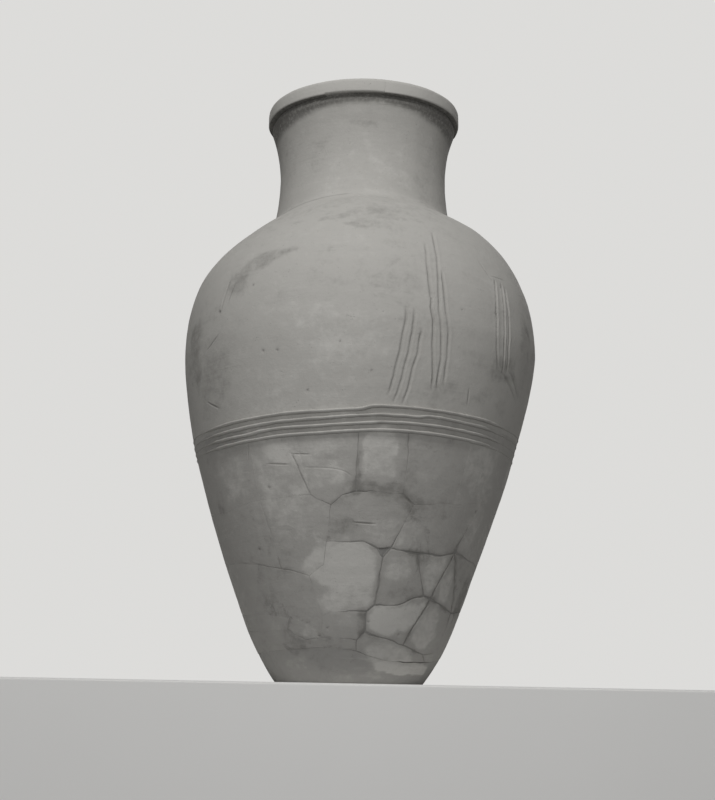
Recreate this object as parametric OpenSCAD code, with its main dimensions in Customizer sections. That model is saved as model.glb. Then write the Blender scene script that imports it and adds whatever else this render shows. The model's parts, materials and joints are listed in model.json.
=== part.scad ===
// Greek pithos: a tall clay storage jar, mended from its sherds.
// Every sherd is cut from one turned wall along a map of break lines, so that
// neighbours share the same break face. The lower body and foot are joined to the
// upper body under a band of four applied ribs, the neck is set on the shoulder and
// the lip is a coil on the neck. Millimetres, +Z up, front of the jar towards -Y.

/* [Body] */
// Height of the jar, foot to lip
total_h = 1200; // [1150:10:1300]
// Diameter of the flat underside of the foot
foot_d = 280; // [240:5:330]
// Diameter of the jar at its widest
belly_d = 716; // [620:2:800]
// Height of the widest place, as a share of the jar's height
belly_share = 0.55; // [0.5:0.01:0.6]
// How full the lower body is: 1 is a cone, 2 a bulging curve
fullness = 1.4; // [1.2:0.1:2]
// Thickness of the fired wall
wall = 24; // [16:1:30]
// Thickness of the floor inside the foot
floor_t = 22; // [16:1:30]
// How far the toe of the foot is drawn in below the line of the wall
toe_in = 19; // [5:1:25]
// Height over which the toe is drawn in
toe_h = 115; // [40:1:140]
// Bevel round the underside of the foot
foot_bevel = 4; // [1:0.5:8]

/* [Shoulder and neck] */
// Height of the neck with its lip, above the shoulder
neck_h = 256; // [220:2:290]
// Diameter of the shoulder where the neck is set on it
root_d = 380; // [360:2:430]
// Diameter of the circle that the shoulder's arc is struck from
core_d = 120; // [80:5:240]
// How squarely the shoulder turns in: 2 is an ellipse
squareness = 2.3; // [2:0.1:3]
// Diameter at the foot of the neck, above its step
neck_foot_d = 366; // [352:2:370]
// Height of the step at the foot of the neck
step_h = 8; // [4:1:12]
// Diameter of the neck at its waist
waist_d = 345; // [320:1:360]
// Height of the waist above the shoulder
waist_rise = 100; // [80:2:120]
// Diameter of the neck just under the lip
neck_top_d = 385; // [366:1:390]

/* [Lip] */
// Diameter of the lip
lip_d = 405; // [396:1:430]
// Height of the lip's face
lip_h = 26; // [22:1:36]
// Width of the lip, mouth to face
lip_w = 32; // [26:1:40]
// Rounding of the lip's corners
lip_round = 9; // [4:0.5:10]
// Height of the hollow under the lip
cove_h = 20; // [14:1:30]

/* [Rib band] */
// How far the middle of the band of ribs lies below the widest place
band_drop = 184; // [140:2:220]
// Number of applied ribs
rib_count = 4;
// Distance from one rib to the next along the wall's height
rib_pitch = 13.5; // [12.5:0.5:18]
// Width of a rib where it lies on the wall
rib_w = 11; // [7:0.5:12]
// How far a rib stands out
rib_h = 6; // [3:0.5:9]

/* [Combing] */
// Width of one combed groove
groove_w = 6; // [3:0.5:9]
// Depth of one combed groove
groove_d = 2.5; // [1:0.5:5]
// Angle round the jar from one groove of a comb to the next
groove_step = 2.8; // [2:0.1:4]

/* [Plaster] */
// How far the plaster fill lies below the jar's surface
fill_set_in = 1.5; // [0:0.5:4]

/* [Hidden] */
COURSE_NAMES = ["base_sherd", "lower_sherd", "middle_sherd", "upper_sherd", "band_sherd",
                "belly_sherd", "shoulder_sherd", "neck_sherd", "rim_segment"];

belly_r = belly_d / 2;
belly_z = total_h * belly_share;
band_z = belly_z - band_drop;
root_z = total_h - neck_h;
core_r = core_d / 2;
waist_z = root_z + waist_rise;
neck_foot_z = root_z + step_h;
lip_z = total_h - lip_h;
neck_top_z = lip_z - cove_h;

// The shoulder is a quarter ellipse about the core; this is its height
shoulder_b = (root_z - belly_z) / pow(1 - pow((root_d / 2 - core_r) / (belly_r - core_r), 2), 1 / squareness);

// Steps of the turned outline, and the longest straight stretch of a break line
outline_step = 24;
shoulder_steps = 14;
neck_steps = 9;
break_az = 12;
break_z = 45;

// How far a cutting block reaches past the wall, to the outside and to the inside
reach_out = 60;
reach_in = 62;
// Stretch of wall that sets the lean of a break face
lean_reach = 40;

clay = [[0.69, 0.66, 0.60], [0.65, 0.62, 0.57], [0.72, 0.69, 0.63], [0.62, 0.60, 0.55]];
plaster = [0.56, 0.55, 0.52];
rib_clay = [0.70, 0.67, 0.62];

// Break lines, from the foot up. Each is a ring of [azimuth, level], with azimuth in
// degrees from the front towards +X, and level 100 at the rib band, 200 at the foot
// of the neck and 300 at the top of the lip.
RINGS = [
    // top edge of the foot
    [[-160, 12.5], [-130, 14.5], [-95, 13], [-60, 12.5], [-36, 13], [-16, 14], [4, 12.5],
     [21, 9.5], [40, 9], [58, 9.5], [80, 11.5], [110, 13.5], [140, 11.5], [170, 10.5]],
    [[-165, 19], [-135, 22], [-100, 20], [-75, 21.5], [-58, 20.5], [-36, 20.5], [-25, 16.5],
     [-16, 17.5], [4, 16.5], [8, 19.5], [12, 18.5], [25, 17], [33, 15.5], [52, 12.5],
     [68, 14], [90, 18], [115, 21], [140, 22.5], [168, 19.5]],
    [[-155, 27.5], [-125, 31.5], [-95, 29.5], [-75, 28], [-58, 27.5], [-33, 25], [-14, 25.5],
     [-10, 27.5], [0, 27], [8, 27.5], [12, 30], [24, 30.5], [31, 33], [38, 34.5], [43, 33.5],
     [65, 29.5], [80, 31.5], [110, 29.5], [140, 32.5], [172, 30.5]],
    [[-160, 46], [-125, 50.5], [-90, 48], [-60, 47.5], [-46, 46], [-33, 44], [-27, 42.5],
     [-19, 40.5], [-12, 44.5], [-10, 53.5], [5, 53.5], [11, 51], [14, 48], [17, 51.5],
     [30, 50], [42, 50.5], [51, 52.5], [70, 50.5], [100, 47], [135, 51.5], [165, 48.5]],
    [[-160, 67.5], [-120, 72.5], [-85, 69], [-60, 67.5], [-38, 70], [-16, 71], [-8, 67],
     [-4, 71], [1, 72.5], [19, 72], [24, 68.5], [42, 70.5], [60, 73.5], [95, 69.5],
     [130, 73.5], [165, 70.5]],
    // joint under the rib band
    [for (az = [-165, -118, -72, -40, -22, 1, 18, 38, 44, 92, 120, 162]) [az, 100]],
    [[-160, 149], [-146, 146], [-104, 150], [-78, 147], [-62, 145], [8, 150], [42, 147],
     [100, 151], [124, 148], [160, 145]],
    // joint at the foot of the neck
    [for (az = [-148, -80, -58, 4, 55, 98, 170]) [az, 200]],
    // joint under the lip
    [for (az = [-130, -84, -23, 11, 50, 124, 166]) [az, 280]],
    // past the top of the lip
    [for (az = [-132, -25, 13, 127]) [az, 320]],
];

// Seams between the sherds of each course, as pairs of places in the ring below and
// the ring above. A sherd lies between one seam and the next.
SEAMS = [
    [[0, 0], [2, 2], [4, 5], [6, 8], [9, 13], [11, 16]],
    [[1, 1], [3, 3], [5, 5], [7, 6], [9, 9], [12, 14], [14, 15], [16, 17], [18, 19]],
    [[0, 0], [2, 2], [4, 4], [6, 7], [10, 12], [13, 14], [14, 16], [15, 16], [18, 19]],
    [[0, 0], [2, 2], [5, 4], [9, 6], [13, 10], [16, 12], [19, 14]],
    [[1, 1], [4, 3], [5, 4], [8, 5], [9, 6], [11, 8], [13, 9], [15, 11]],
    [[0, 0], [2, 3], [7, 6], [10, 8]],
    [[1, 0], [4, 2], [5, 3], [7, 5]],
    [[1, 1], [4, 4], [6, 6]],
    [[0, 0], [2, 1], [3, 2], [5, 3]],
];

// The corner of the break line that the plaster fill takes from the course above it
CHIP_RING = 3;
CHIP_CORNER = 12;

// Strokes of the comb, each as [start, middle, end] of its first groove
COMB_STROKES = [
    [[21.5, 172], [20.5, 150], [23.5, 113]],
    [[13.5, 143], [12.5, 126], [10, 108]],
    [[48, 163], [46, 138], [48.5, 126]],
    [[53, 121], [57, 118.5], [62, 112]],
    [[-51, 161], [-53, 155], [-53.5, 148]],
];
grooves_per_comb = 3;
// How far the cutting V starts above the wall
groove_lift = 1;
stroke_steps = 14;

function course_size(c) = len(SEAMS[c]);
$fn = 96;

// The wall's outline

// Height of a level on the break map
function level_z(level) = lookup(level, [[0, 0], [100, band_z], [200, root_z], [300, total_h],
                                         [400, 2 * total_h - root_z]]);

// Radius of the outside at a height, for each part of the outline
function lower_r(z) = belly_r - (belly_r - foot_d / 2 - toe_in) * pow(1 - z / belly_z, fullness)
                      - toe_in * pow(max(0, 1 - z / toe_h), 2);
function shoulder_r(z) = core_r + (belly_r - core_r) * sqrt(1 - pow((z - belly_z) / shoulder_b, squareness));
function step_r(z) = (root_d + (neck_foot_d - root_d) * (z - root_z) / step_h) / 2;
function neck_r(z) =
    z < waist_z ? (waist_d + (neck_foot_d - waist_d) * pow((waist_z - z) / (waist_z - neck_foot_z), 2)) / 2
                : (waist_d + (neck_top_d - waist_d) * pow((z - waist_z) / (neck_top_z - waist_z), 2)) / 2;
function outer_r(z) = z < belly_z ? lower_r(max(z, 0)) : z < root_z ? shoulder_r(z)
                    : z < neck_foot_z ? step_r(z) : neck_r(z);

// A point of the section at a height: [radius, height], at a depth below the outside,
// measured square to the wall as it runs within the reach given
function slope(z, reach) = (outer_r(z + reach) - outer_r(z - reach)) / (2 * reach);
function section(z, depth, reach = 1) =
    let (m = slope(z, reach), n = sqrt(1 + m * m)) [outer_r(z) - depth / n, z + depth * m / n];

// The same point in space, at an azimuth
function place(az, z, depth, reach = 1) =
    let (s = section(z, depth, reach)) [s[0] * sin(az), -s[0] * cos(az), s[1]];

// Where a break line's point lies outside and inside the wall
function outside(p) = place(turned(p[0]), p[1], -reach_out, lean_reach);
function inside(p) = place(turned(p[0]), p[1], reach_in, lean_reach);

function spread(from, to, steps) = [for (i = [0:steps - 1]) from + (to - from) * i / steps];
function rib_z(k) = band_z + ((rib_count - 1) / 2 - k) * rib_pitch;
function even_steps(from, to) = spread(from, to, max(1, round(abs(to - from) / outline_step)));

// Heights of the outline's corners. Each rib has a straight seat on the wall.
band_foot = rib_z(rib_count - 1) - rib_w / 2;
band_top = rib_z(0) + rib_w / 2;
OUTLINE_Z = concat(
    spread(0, toe_h / 2, 3),
    even_steps(toe_h / 2, band_foot),
    [for (k = [rib_count - 1:-1:0]) each [rib_z(k) - rib_w / 2, rib_z(k) + rib_w / 2]],
    [for (z = even_steps(band_top, belly_z)) if (z > band_top) z],
    [for (i = [0:shoulder_steps - 1])
        belly_z + shoulder_b * sin(asin((root_z - belly_z) / shoulder_b) * i / shoulder_steps)],
    [root_z],
    spread(neck_foot_z, neck_top_z, neck_steps),
    [neck_top_z]);

function arc_points(centre, radius, from, to, steps) =
    [for (i = [0:steps]) let (a = from + (to - from) * i / steps)
        centre + radius * [cos(a), sin(a)]];

// The lip's outline, from the top of the neck round to the mouth
lip_r = lip_d / 2;
cove_w = lip_r - lip_round - outer_r(neck_top_z);
LIP_OUTLINE = concat(
    [for (i = [1:4]) let (a = 90 * i / 4)
        [outer_r(neck_top_z) + cove_w * (1 - cos(a)), neck_top_z + cove_h * sin(a)]],
    arc_points([lip_r - lip_round, lip_z + lip_round], lip_round, -67.5, 0, 3),
    arc_points([lip_r - lip_round, total_h - lip_round], lip_round, 0, 90, 4),
    arc_points([lip_r - lip_w + lip_round, total_h - lip_round], lip_round, 90, 180, 4));

function reversed(list) = [for (i = [len(list) - 1:-1:0]) list[i]];

// The turned wall between two heights, with the lip where it reaches the top
module wall_ring(from, to) {
    heights = [for (z = OUTLINE_Z) if (z >= from && z <= to) z];
    with_lip = to > neck_top_z;
    rotate_extrude()
        polygon(concat(
            [for (z = heights) section(z, 0)],
            with_lip ? LIP_OUTLINE : [],
            [for (z = reversed(heights)) section(z, wall)]));
}

// Break lines and cutting blocks

// A corner of a ring, counted on past its end for the sherds that close the circle
function corner(r, i) =
    let (n = len(RINGS[r]), p = RINGS[r][i % n]) [p[0] + 360 * floor(i / n), level_z(p[1])];

// Which of two corners comes first, so that neighbours split a break face alike
function turned(az) = az >= 180 ? az - 360 : az;
function comes_first(p, q) =
    turned(p[0]) == turned(q[0]) ? p[1] < q[1] : turned(p[0]) < turned(q[0]);

// Points along a straight break from p to q, without q
function break_steps(p, q) =
    let (n = max(1, ceil(max(abs(q[0] - p[0]) / break_az, abs(q[1] - p[1]) / break_z))))
    comes_first(p, q) ? [for (i = [0:n - 1]) p + (q - p) * i / n]
                      : [for (i = [0:n - 1]) q + (p - q) * (n - i) / n];

function closed_break(corners) =
    [for (i = [0:len(corners) - 1]) each break_steps(corners[i], corners[(i + 1) % len(corners)])];

// The two faces of one stretch of a break, between outer points o, p and inner points i, j
function break_faces(o, p, i, j, first) =
    first ? [[o, p, j], [o, j, i]] : [[o, p, i], [p, j, i]];

// A block through the wall, with the outline of one sherd
module sherd_block(corners) {
    line = closed_break(corners);
    n = len(line);
    mid = [for (axis = [0, 1]) (max([for (p = line) p[axis]]) + min([for (p = line) p[axis]])) / 2];
    polyhedron(
        points = concat([for (p = line) outside(p)], [for (p = line) inside(p)],
                        [outside(mid), inside(mid)]),
        faces = [for (i = [0:n - 1]) let (j = (i + 1) % n)
            each concat(break_faces(i, j, n + i, n + j, comes_first(line[i], line[j])),
                        [[2 * n, j, i], [2 * n + 1, n + i, n + j]])]);
}

function is_chip(r, i) = r == CHIP_RING && i % len(RINGS[r]) == CHIP_CORNER;

// The corners of sherd k in course c: along the ring below, then back along the ring above
function sherd_corners(c, k) =
    let (n = course_size(c),
         left = SEAMS[c][k],
         right = SEAMS[c][(k + 1) % n]
                 + (k + 1 < n ? [0, 0] : [len(RINGS[c]), len(RINGS[c + 1])]))
    concat([for (i = [left[0]:right[0]]) if (!is_chip(c, i)) corner(c, i)],
           [for (i = [right[1]:-1:left[1]]) corner(c + 1, i)]);

// Heights between which a sherd lies, with room for its slanting break faces
function lowest(corners) = min([for (p = corners) p[1]]) - reach_out - outline_step;
function highest(corners) = max([for (p = corners) p[1]]) + reach_out + outline_step;

// Combed decoration

function curve(p, t) = p[0] * (1 - t) * (1 - t) + p[1] * 2 * t * (1 - t) + p[2] * t * t;

// One groove, a V cut along a curve on the wall
module groove(stroke, shift) {
    n = stroke_steps;
    points = [for (i = [0:n]) let (
                  p = curve(stroke, i / n),
                  az = p[0] + shift,
                  z = level_z(p[1]),
                  half = groove_w / 2 * (1 + groove_lift / groove_d) / outer_r(z) * 180 / PI)
              each [place(az - half, z, -groove_lift), place(az + half, z, -groove_lift), place(az, z, groove_d)]];
    polyhedron(
        points = points,
        faces = concat(
            [[0, 1, 2], [3 * n + 2, 3 * n + 1, 3 * n]],
            [for (i = [0:n - 1]) for (s = [0:2]) let (a = 3 * i + s, b = 3 * i + (s + 1) % 3)
                each [[a, a + 3, b], [b, a + 3, b + 3]]]));
}

// Whether a comb stroke reaches a sherd
function near(stroke, corners) =
    let (az = [for (p = corners) p[0]], z = [for (p = corners) p[1]])
    max([for (p = stroke) p[0]]) + groove_step * grooves_per_comb > min(az)
    && min([for (p = stroke) p[0]]) - groove_step < max(az)
    && level_z(max([for (p = stroke) p[1]])) > min(z)
    && level_z(min([for (p = stroke) p[1]])) < max(z);

// Each groove of a comb starts a little later than the one before it
module combing(corners) {
    for (stroke = COMB_STROKES)
        if (near(stroke, corners))
            for (g = [0:grooves_per_comb - 1])
                groove([stroke[0] - [0, 2 * g], stroke[1], stroke[2] - [0, g]], g * groove_step);
}

// The pieces

module sherd(c, k) {
    corners = sherd_corners(c, k);
    color(clay[(3 * c + 2 * k) % len(clay)])
        difference() {
            intersection() {
                wall_ring(lowest(corners), highest(corners));
                sherd_block(corners);
            }
            combing(corners);
        }
}

// The plaster foot: floor and toe, up to the lowest sherds
module foot() {
    rim = [for (i = [0:len(RINGS[0]) - 1]) each break_steps(corner(0, i), corner(0, i + 1))];
    n = len(rim);
    heights = [for (z = OUTLINE_Z) if (z <= level_z(40)) z];
    outer = [for (p = rim) outside(p)];
    inner = [for (p = rim) inside(p)];
    skirt = [for (p = outer) [p[0], p[1], -reach_out]];
    color(plaster)
        intersection() {
            rotate_extrude()
                polygon(concat(
                    [[0, 0], [outer_r(0) - foot_bevel, 0]],
                    [for (z = heights) if (z >= foot_bevel) section(z, 0)],
                    [for (z = reversed(heights)) if (z >= floor_t) section(z, wall)],
                    [[outer_r(0) - wall - foot_bevel, floor_t], [0, floor_t]]));
            polyhedron(
                points = concat(outer, inner, skirt, [[0, 0, level_z(30)], [0, 0, -reach_out]]),
                faces = [for (i = [0:n - 1]) let (j = (i + 1) % n)
                    each concat(
                        [for (f = break_faces(i, j, n + i, n + j, comes_first(rim[i], rim[j])))
                            reversed(f)],
                        [[3 * n, n + j, n + i], [i, j, 2 * n + j], [i, 2 * n + j, 2 * n + i],
                         [3 * n + 1, 2 * n + i, 2 * n + j]])]);
        }
}

// The plaster set in the notch where three sherds meet
module plaster_fill() {
    corners = [for (i = [-1:1]) corner(CHIP_RING, CHIP_CORNER + i)];
    heights = [for (z = OUTLINE_Z) if (z >= lowest(corners) && z <= highest(corners)) z];
    color(plaster)
        intersection() {
            rotate_extrude()
                polygon(concat([for (z = heights) section(z, fill_set_in)],
                               [for (z = reversed(heights)) section(z, wall)]));
            sherd_block(corners);
        }
}

// An applied rib: a half-round strip on its straight seat
module rib(k) {
    foot_point = section(rib_z(k) - rib_w / 2, 0);
    top_point = section(rib_z(k) + rib_w / 2, 0);
    across = (top_point - foot_point) / 2;
    out = [across[1], -across[0]] * rib_h / norm(across);
    middle = (foot_point + top_point) / 2;
    color(rib_clay)
        rotate_extrude()
            polygon([for (i = [0:8]) let (a = -90 + 180 * i / 8)
                middle + across * sin(a) + out * cos(a)]);
}

foot();
for (c = [0:len(SEAMS) - 1])
    for (k = [0:course_size(c) - 1])
        sherd(c, k);
plaster_fill();
for (k = [0:rib_count - 1])
    rib(k);
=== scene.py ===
"""Greek pithos: a clay storage jar mended from sherds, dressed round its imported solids.

Lengths are millimetres until a mesh is made, and metres in Blender. Azimuth runs in
degrees from the jar's front, at -Y, towards +X. Depth is measured from the outer skin
into the wall.
"""

import json
import logging
import math
from dataclasses import dataclass, field, replace
from enum import Enum

import bmesh
import bpy
import numpy as np
from mathutils import Euler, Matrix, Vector, geometry

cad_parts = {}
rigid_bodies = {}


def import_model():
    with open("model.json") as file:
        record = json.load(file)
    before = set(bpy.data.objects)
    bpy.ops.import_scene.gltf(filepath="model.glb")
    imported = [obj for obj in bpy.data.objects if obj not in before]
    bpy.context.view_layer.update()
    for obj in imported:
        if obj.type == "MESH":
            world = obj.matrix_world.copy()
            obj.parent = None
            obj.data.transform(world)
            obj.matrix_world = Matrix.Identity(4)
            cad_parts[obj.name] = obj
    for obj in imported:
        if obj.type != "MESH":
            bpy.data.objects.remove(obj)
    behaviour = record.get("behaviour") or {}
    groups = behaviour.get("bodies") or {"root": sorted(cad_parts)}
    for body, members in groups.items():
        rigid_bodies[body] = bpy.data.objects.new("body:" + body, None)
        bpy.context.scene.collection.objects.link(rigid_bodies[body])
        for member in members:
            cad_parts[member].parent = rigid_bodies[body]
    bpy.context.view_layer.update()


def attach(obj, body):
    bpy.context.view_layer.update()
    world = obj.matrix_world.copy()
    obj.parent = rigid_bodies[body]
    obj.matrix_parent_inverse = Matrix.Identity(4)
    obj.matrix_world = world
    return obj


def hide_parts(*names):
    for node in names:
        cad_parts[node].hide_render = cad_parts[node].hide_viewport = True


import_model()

LOG = logging.getLogger("pithos")
METRES = 0.001
FULL_TURN = 360.0
HALF_TURN = 180.0

# Radius in millimetres at which noise round the jar is drawn
NOISE_R = 300.0

# Levels on the map of breaks where the lip's outlines start and end
LIP_FOOT_LEVEL = 280
LIP_TOP_LEVEL = 320

Array = np.ndarray
Socket = bpy.types.NodeSocket
Thing = bpy.types.Object
Place = tuple[float, float]
Row = list[Place]


# Numbers that vary softly


def lattice_value(cell: Array, seed: int) -> Array:
    """A fixed value from -1 to 1 for each whole-numbered cell.

    Args:
        cell: Whole numbers, three to a row.
        seed: Which set of values to use.

    Returns:
        One value for each row.
    """
    mixed = cell[:, 0] * 73856093 ^ cell[:, 1] * 19349663 ^ cell[:, 2] * 83492791
    mixed = (mixed ^ (seed * 40503 + 12345)) & 0xFFFFFFFF
    mixed = (mixed ^ (mixed >> 13)) * 1274126177 & 0xFFFFFFFF
    mixed = (mixed ^ (mixed >> 16)) & 0xFFFFFF
    return mixed / 0x7FFFFF - 1.0


def soft_noise(points: Array, size: float, seed: int) -> Array:
    """Smooth noise from -1 to 1, the same for equal points.

    Args:
        points: Places in millimetres, three numbers to a row.
        size: Distance over which the noise changes, in millimetres.
        seed: Which noise to use.

    Returns:
        One value for each point.
    """
    scaled = np.asarray(points, float) / size
    cell = np.floor(scaled).astype(np.int64)
    part = scaled - cell
    part = part * part * (3 - 2 * part)
    total = np.zeros(len(scaled))
    for corner in np.ndindex(2, 2, 2):
        step = np.array(corner)
        weight = np.prod(np.where(step == 1, part, 1 - part), axis=1)
        total += weight * lattice_value(cell + step, seed)
    return total


def smooth_step(low: float, high: float, value: Array) -> Array:
    """0 at low and 1 at high, with a soft start and end."""
    t = np.clip((value - low) / (high - low), 0, 1)
    return t * t * (3 - 2 * t)


def layered(points: Array, *layers: tuple[float, float, int]) -> Array:
    """A sum of soft noises, each given by its reach, size and seed."""
    return sum(reach * soft_noise(points, size, seed) for reach, size, seed in layers)


def around(a: Array, r: Array | float, z: Array | float) -> Array:
    """Points round the upright axis, at angles in radians, radii and heights."""
    return np.column_stack(np.broadcast_arrays(r * np.sin(a), -r * np.cos(a), z))


def swing(az: Array | float, centre: float) -> Array | float:
    """How far an azimuth lies from another one, from -180 to 180."""
    return (az - centre + HALF_TURN) % FULL_TURN - HALF_TURN


def arc(turn: Array | float, r: Array | float) -> Array | float:
    """Length of a turn in degrees at a radius."""
    return turn * r * math.pi / HALF_TURN


def even_steps(line: Array, lengths: Array, step: float) -> Array:
    """Points at about even steps along a flat line, from the lengths of its pieces."""
    reach = np.concatenate([[0], np.cumsum(lengths)])
    along = np.linspace(0, reach[-1], max(2, int(reach[-1] / step)))
    return np.column_stack([np.interp(along, reach, line[:, i]) for i in (0, 1)])


# The turned wall


@dataclass(frozen=True)
class Wall:
    """The jar's turned wall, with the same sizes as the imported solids."""

    total_h: float = 1200
    foot_r: float = 140
    belly_r: float = 358
    belly_z: float = 660
    fullness: float = 1.4
    thickness: float = 24
    floor_t: float = 22
    toe_in: float = 19
    toe_h: float = 115
    root_z: float = 944
    root_r: float = 190
    core_r: float = 60
    squareness: float = 2.3
    step_h: float = 8
    neck_foot_r: float = 183
    waist_rise: float = 100
    waist_r: float = 172.5
    neck_top_r: float = 192.5
    lip_h: float = 26
    cove_h: float = 20
    band_z: float = 476
    root_soft: float = 26
    root_reach: float = 12
    bulge_from: float = 60
    skin_depth: float = 5
    fine_reach: float = 1
    broad_reach: float = 14

    # How far the fired jar leans to +X, by height
    lean_z: tuple[float, ...] = (0, 120, 300, 476, 660, 800, 1200)
    lean_x: tuple[float, ...] = (2.5, 2.2, 2.6, 7.6, 13.4, 12, 11.8)

    # How far its rings slope up towards +X, by height
    slope_z: tuple[float, ...] = (0, 400, 476, 560, 660, 800, 900, 950, 1200)
    slope_up: tuple[float, ...] = (0, 0, 0.027, 0.02, 0.012, 0.012, 0.042, 0.018, 0.01)

    # How far the rings rise at the front and back and sink at the sides, by height
    bow_z: tuple[float, ...] = (820, 900, 925, 950, 1080)
    bow_up: tuple[float, ...] = (0, 7, 11, 9, 0)

    @property
    def neck_foot_z(self) -> float:
        """Height of the foot of the neck, above its step."""
        return self.root_z + self.step_h

    @property
    def lip_z(self) -> float:
        """Height of the underside of the lip."""
        return self.total_h - self.lip_h

    @property
    def neck_top_z(self) -> float:
        """Height where the neck ends and the hollow under the lip begins."""
        return self.lip_z - self.cove_h

    def outer_r(self, z: Array) -> Array:
        """Radius of the outside at each height, softened where the neck meets the shoulder."""
        z = np.asarray(z, float)
        near = np.exp(-(((z - self.neck_foot_z) / self.root_soft) ** 2))
        reach = near * self.root_reach
        return sum(self.drawn_r(z + reach * share) for share in (-1, -0.5, 0, 0.5, 1)) / 5

    def drawn_r(self, z: Array) -> Array:
        """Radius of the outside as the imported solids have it."""
        low = np.clip(z, 0, self.belly_z)
        toe = self.toe_in * np.clip(1 - low / self.toe_h, 0, 1) ** 2
        swell = self.belly_r - self.foot_r - self.toe_in
        lower = self.belly_r - swell * (1 - low / self.belly_z) ** self.fullness - toe
        reach = self.belly_r - self.core_r
        rise = 1 - ((self.root_r - self.core_r) / reach) ** 2
        shoulder_h = (self.root_z - self.belly_z) / rise ** (1 / self.squareness)
        high = (np.clip(z, self.belly_z, self.root_z) - self.belly_z) / shoulder_h
        shoulder = self.core_r + reach * np.sqrt(1 - high**self.squareness)
        up = (z - self.root_z) / self.step_h
        step = self.root_r + (self.neck_foot_r - self.root_r) * up
        waist_z = self.root_z + self.waist_rise
        below = ((waist_z - z) / (waist_z - self.neck_foot_z)) ** 2
        above = ((z - waist_z) / (self.neck_top_z - waist_z)) ** 2
        neck = self.waist_r + np.where(
            z < waist_z,
            (self.neck_foot_r - self.waist_r) * below,
            (self.neck_top_r - self.waist_r) * above,
        )
        return np.select(
            [z < self.belly_z, z < self.root_z, z < self.neck_foot_z],
            [lower, shoulder, step],
            neck,
        )

    def incline(self, z: Array, reach: float) -> Array:
        """Change of radius for each millimetre of height."""
        return (self.outer_r(z + reach) - self.outer_r(z - reach)) / (2 * reach)

    def unevenness(self, points: Array) -> Array:
        """How far the hand-built wall bulges out, at points on it."""
        return layered(points, (1.5, 240, 11), (0.55, 75, 12), (0.22, 30, 13))

    def stand(self, points: Array) -> Array:
        """Leans the jar and slopes its rings as the fired jar does."""
        x, y, z = points.T
        lean = np.interp(z, self.lean_z, self.lean_x)
        slope = np.interp(z, self.slope_z, self.slope_up)
        turn = (y * y - x * x) / np.maximum(x * x + y * y, 1.0)
        bow = np.interp(z, self.bow_z, self.bow_up)
        return np.column_stack([x + lean, y, z + slope * x + bow * turn])

    def turned(self, az: Array, r: Array, z: Array) -> Array:
        """Points of the standing jar at azimuths, radii and heights."""
        a = np.radians(az)
        rising = smooth_step(0, self.bulge_from, np.asarray(z, float))
        bulge = self.unevenness(around(a, NOISE_R, z)) * rising
        return self.stand(around(a, r + bulge, z))

    def solid(self, places: Array) -> Array:
        """Points of the true turned wall at rows of [azimuth, height]."""
        az, z = places.T
        return around(np.radians(az), self.outer_r(z), z)

    def place(self, az: Array, z: Array, depth: Array) -> Array:
        """Points of the standing jar at azimuths, heights and depths."""
        depth = np.broadcast_to(np.asarray(depth, float), np.shape(z))
        fine, broad = self.incline(z, self.fine_reach), self.incline(z, self.broad_reach)
        m = np.where(np.abs(depth) < self.skin_depth, fine, broad)
        n = np.sqrt(1 + m * m)
        return self.turned(az, self.outer_r(z) - depth / n, z + depth * m / n)

    def above(self, points: Array) -> Array:
        """How far points of the standing jar lie outside its wall."""
        x, y, z = points.T
        x = x - np.interp(z, self.lean_z, self.lean_x)
        z = z - np.interp(z, self.slope_z, self.slope_up) * x
        a = np.arctan2(x, -y)
        bulge = self.unevenness(around(a, NOISE_R, z))
        return np.hypot(x, y) - self.outer_r(z) - bulge

    def upright(self, az: float, z: float) -> Place:
        """Undoes the slope of the rings for a place that is seen on the standing jar."""
        guess, turn = z, math.cos(math.radians(2 * az))
        x = float(self.outer_r(z)) * math.sin(math.radians(az))
        for _ in range(4):
            slope = float(np.interp(guess, self.slope_z, self.slope_up))
            guess = z - slope * x - turn * float(np.interp(guess, self.bow_z, self.bow_up))
        return az, guess


WALL = Wall()


class Sheet:
    """A patch of wall laid flat, in millimetres, to draw sherds and marks on."""

    heights = np.arange(-20.0, 1300.0, 1.0)
    lengths = np.concatenate(
        [[0.0], np.cumsum(np.hypot(1.0, np.diff(WALL.outer_r(heights))))]
    )

    def __init__(self, az: float, z: float) -> None:
        """Lays the wall flat round one azimuth and height."""
        self.az = az
        self.scale = arc(1.0, float(WALL.outer_r(z)))

    def flat(self, places: Array) -> Array:
        """Rows of [azimuth, height] as rows of [across, up]."""
        up = np.interp(places[:, 1], self.heights, self.lengths)
        return np.column_stack([(places[:, 0] - self.az) * self.scale, up])

    def round(self, flat: Array) -> Array:
        """Rows of [across, up] as rows of [azimuth, height]."""
        z = np.interp(flat[:, 1], self.lengths, self.heights)
        return np.column_stack([flat[:, 0] / self.scale + self.az, z])


def distance_to_lines(points: Array, starts: Array, ends: Array) -> Array:
    """Distance from each flat point to the nearest of some straight lines.

    Args:
        points: Flat points, one to a row.
        starts: Where each line starts.
        ends: Where each line ends.

    Returns:
        One distance for each point.
    """
    nearest, batch = np.empty(len(points)), 2000
    along = ends - starts
    length = np.maximum((along**2).sum(1), 1e-9)
    for i in range(0, len(points), batch):
        gap = points[i : i + batch, None, :] - starts[None]
        t = np.clip((gap * along).sum(2) / length, 0, 1)
        gap -= t[..., None] * along
        nearest[i : i + batch] = np.sqrt((gap**2).sum(2)).min(1)
    return nearest


def distance_to_outline(points: Array, outline: Array) -> Array:
    """Distance from each flat point to a closed outline."""
    return distance_to_lines(points, outline, np.roll(outline, -1, axis=0))


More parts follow.
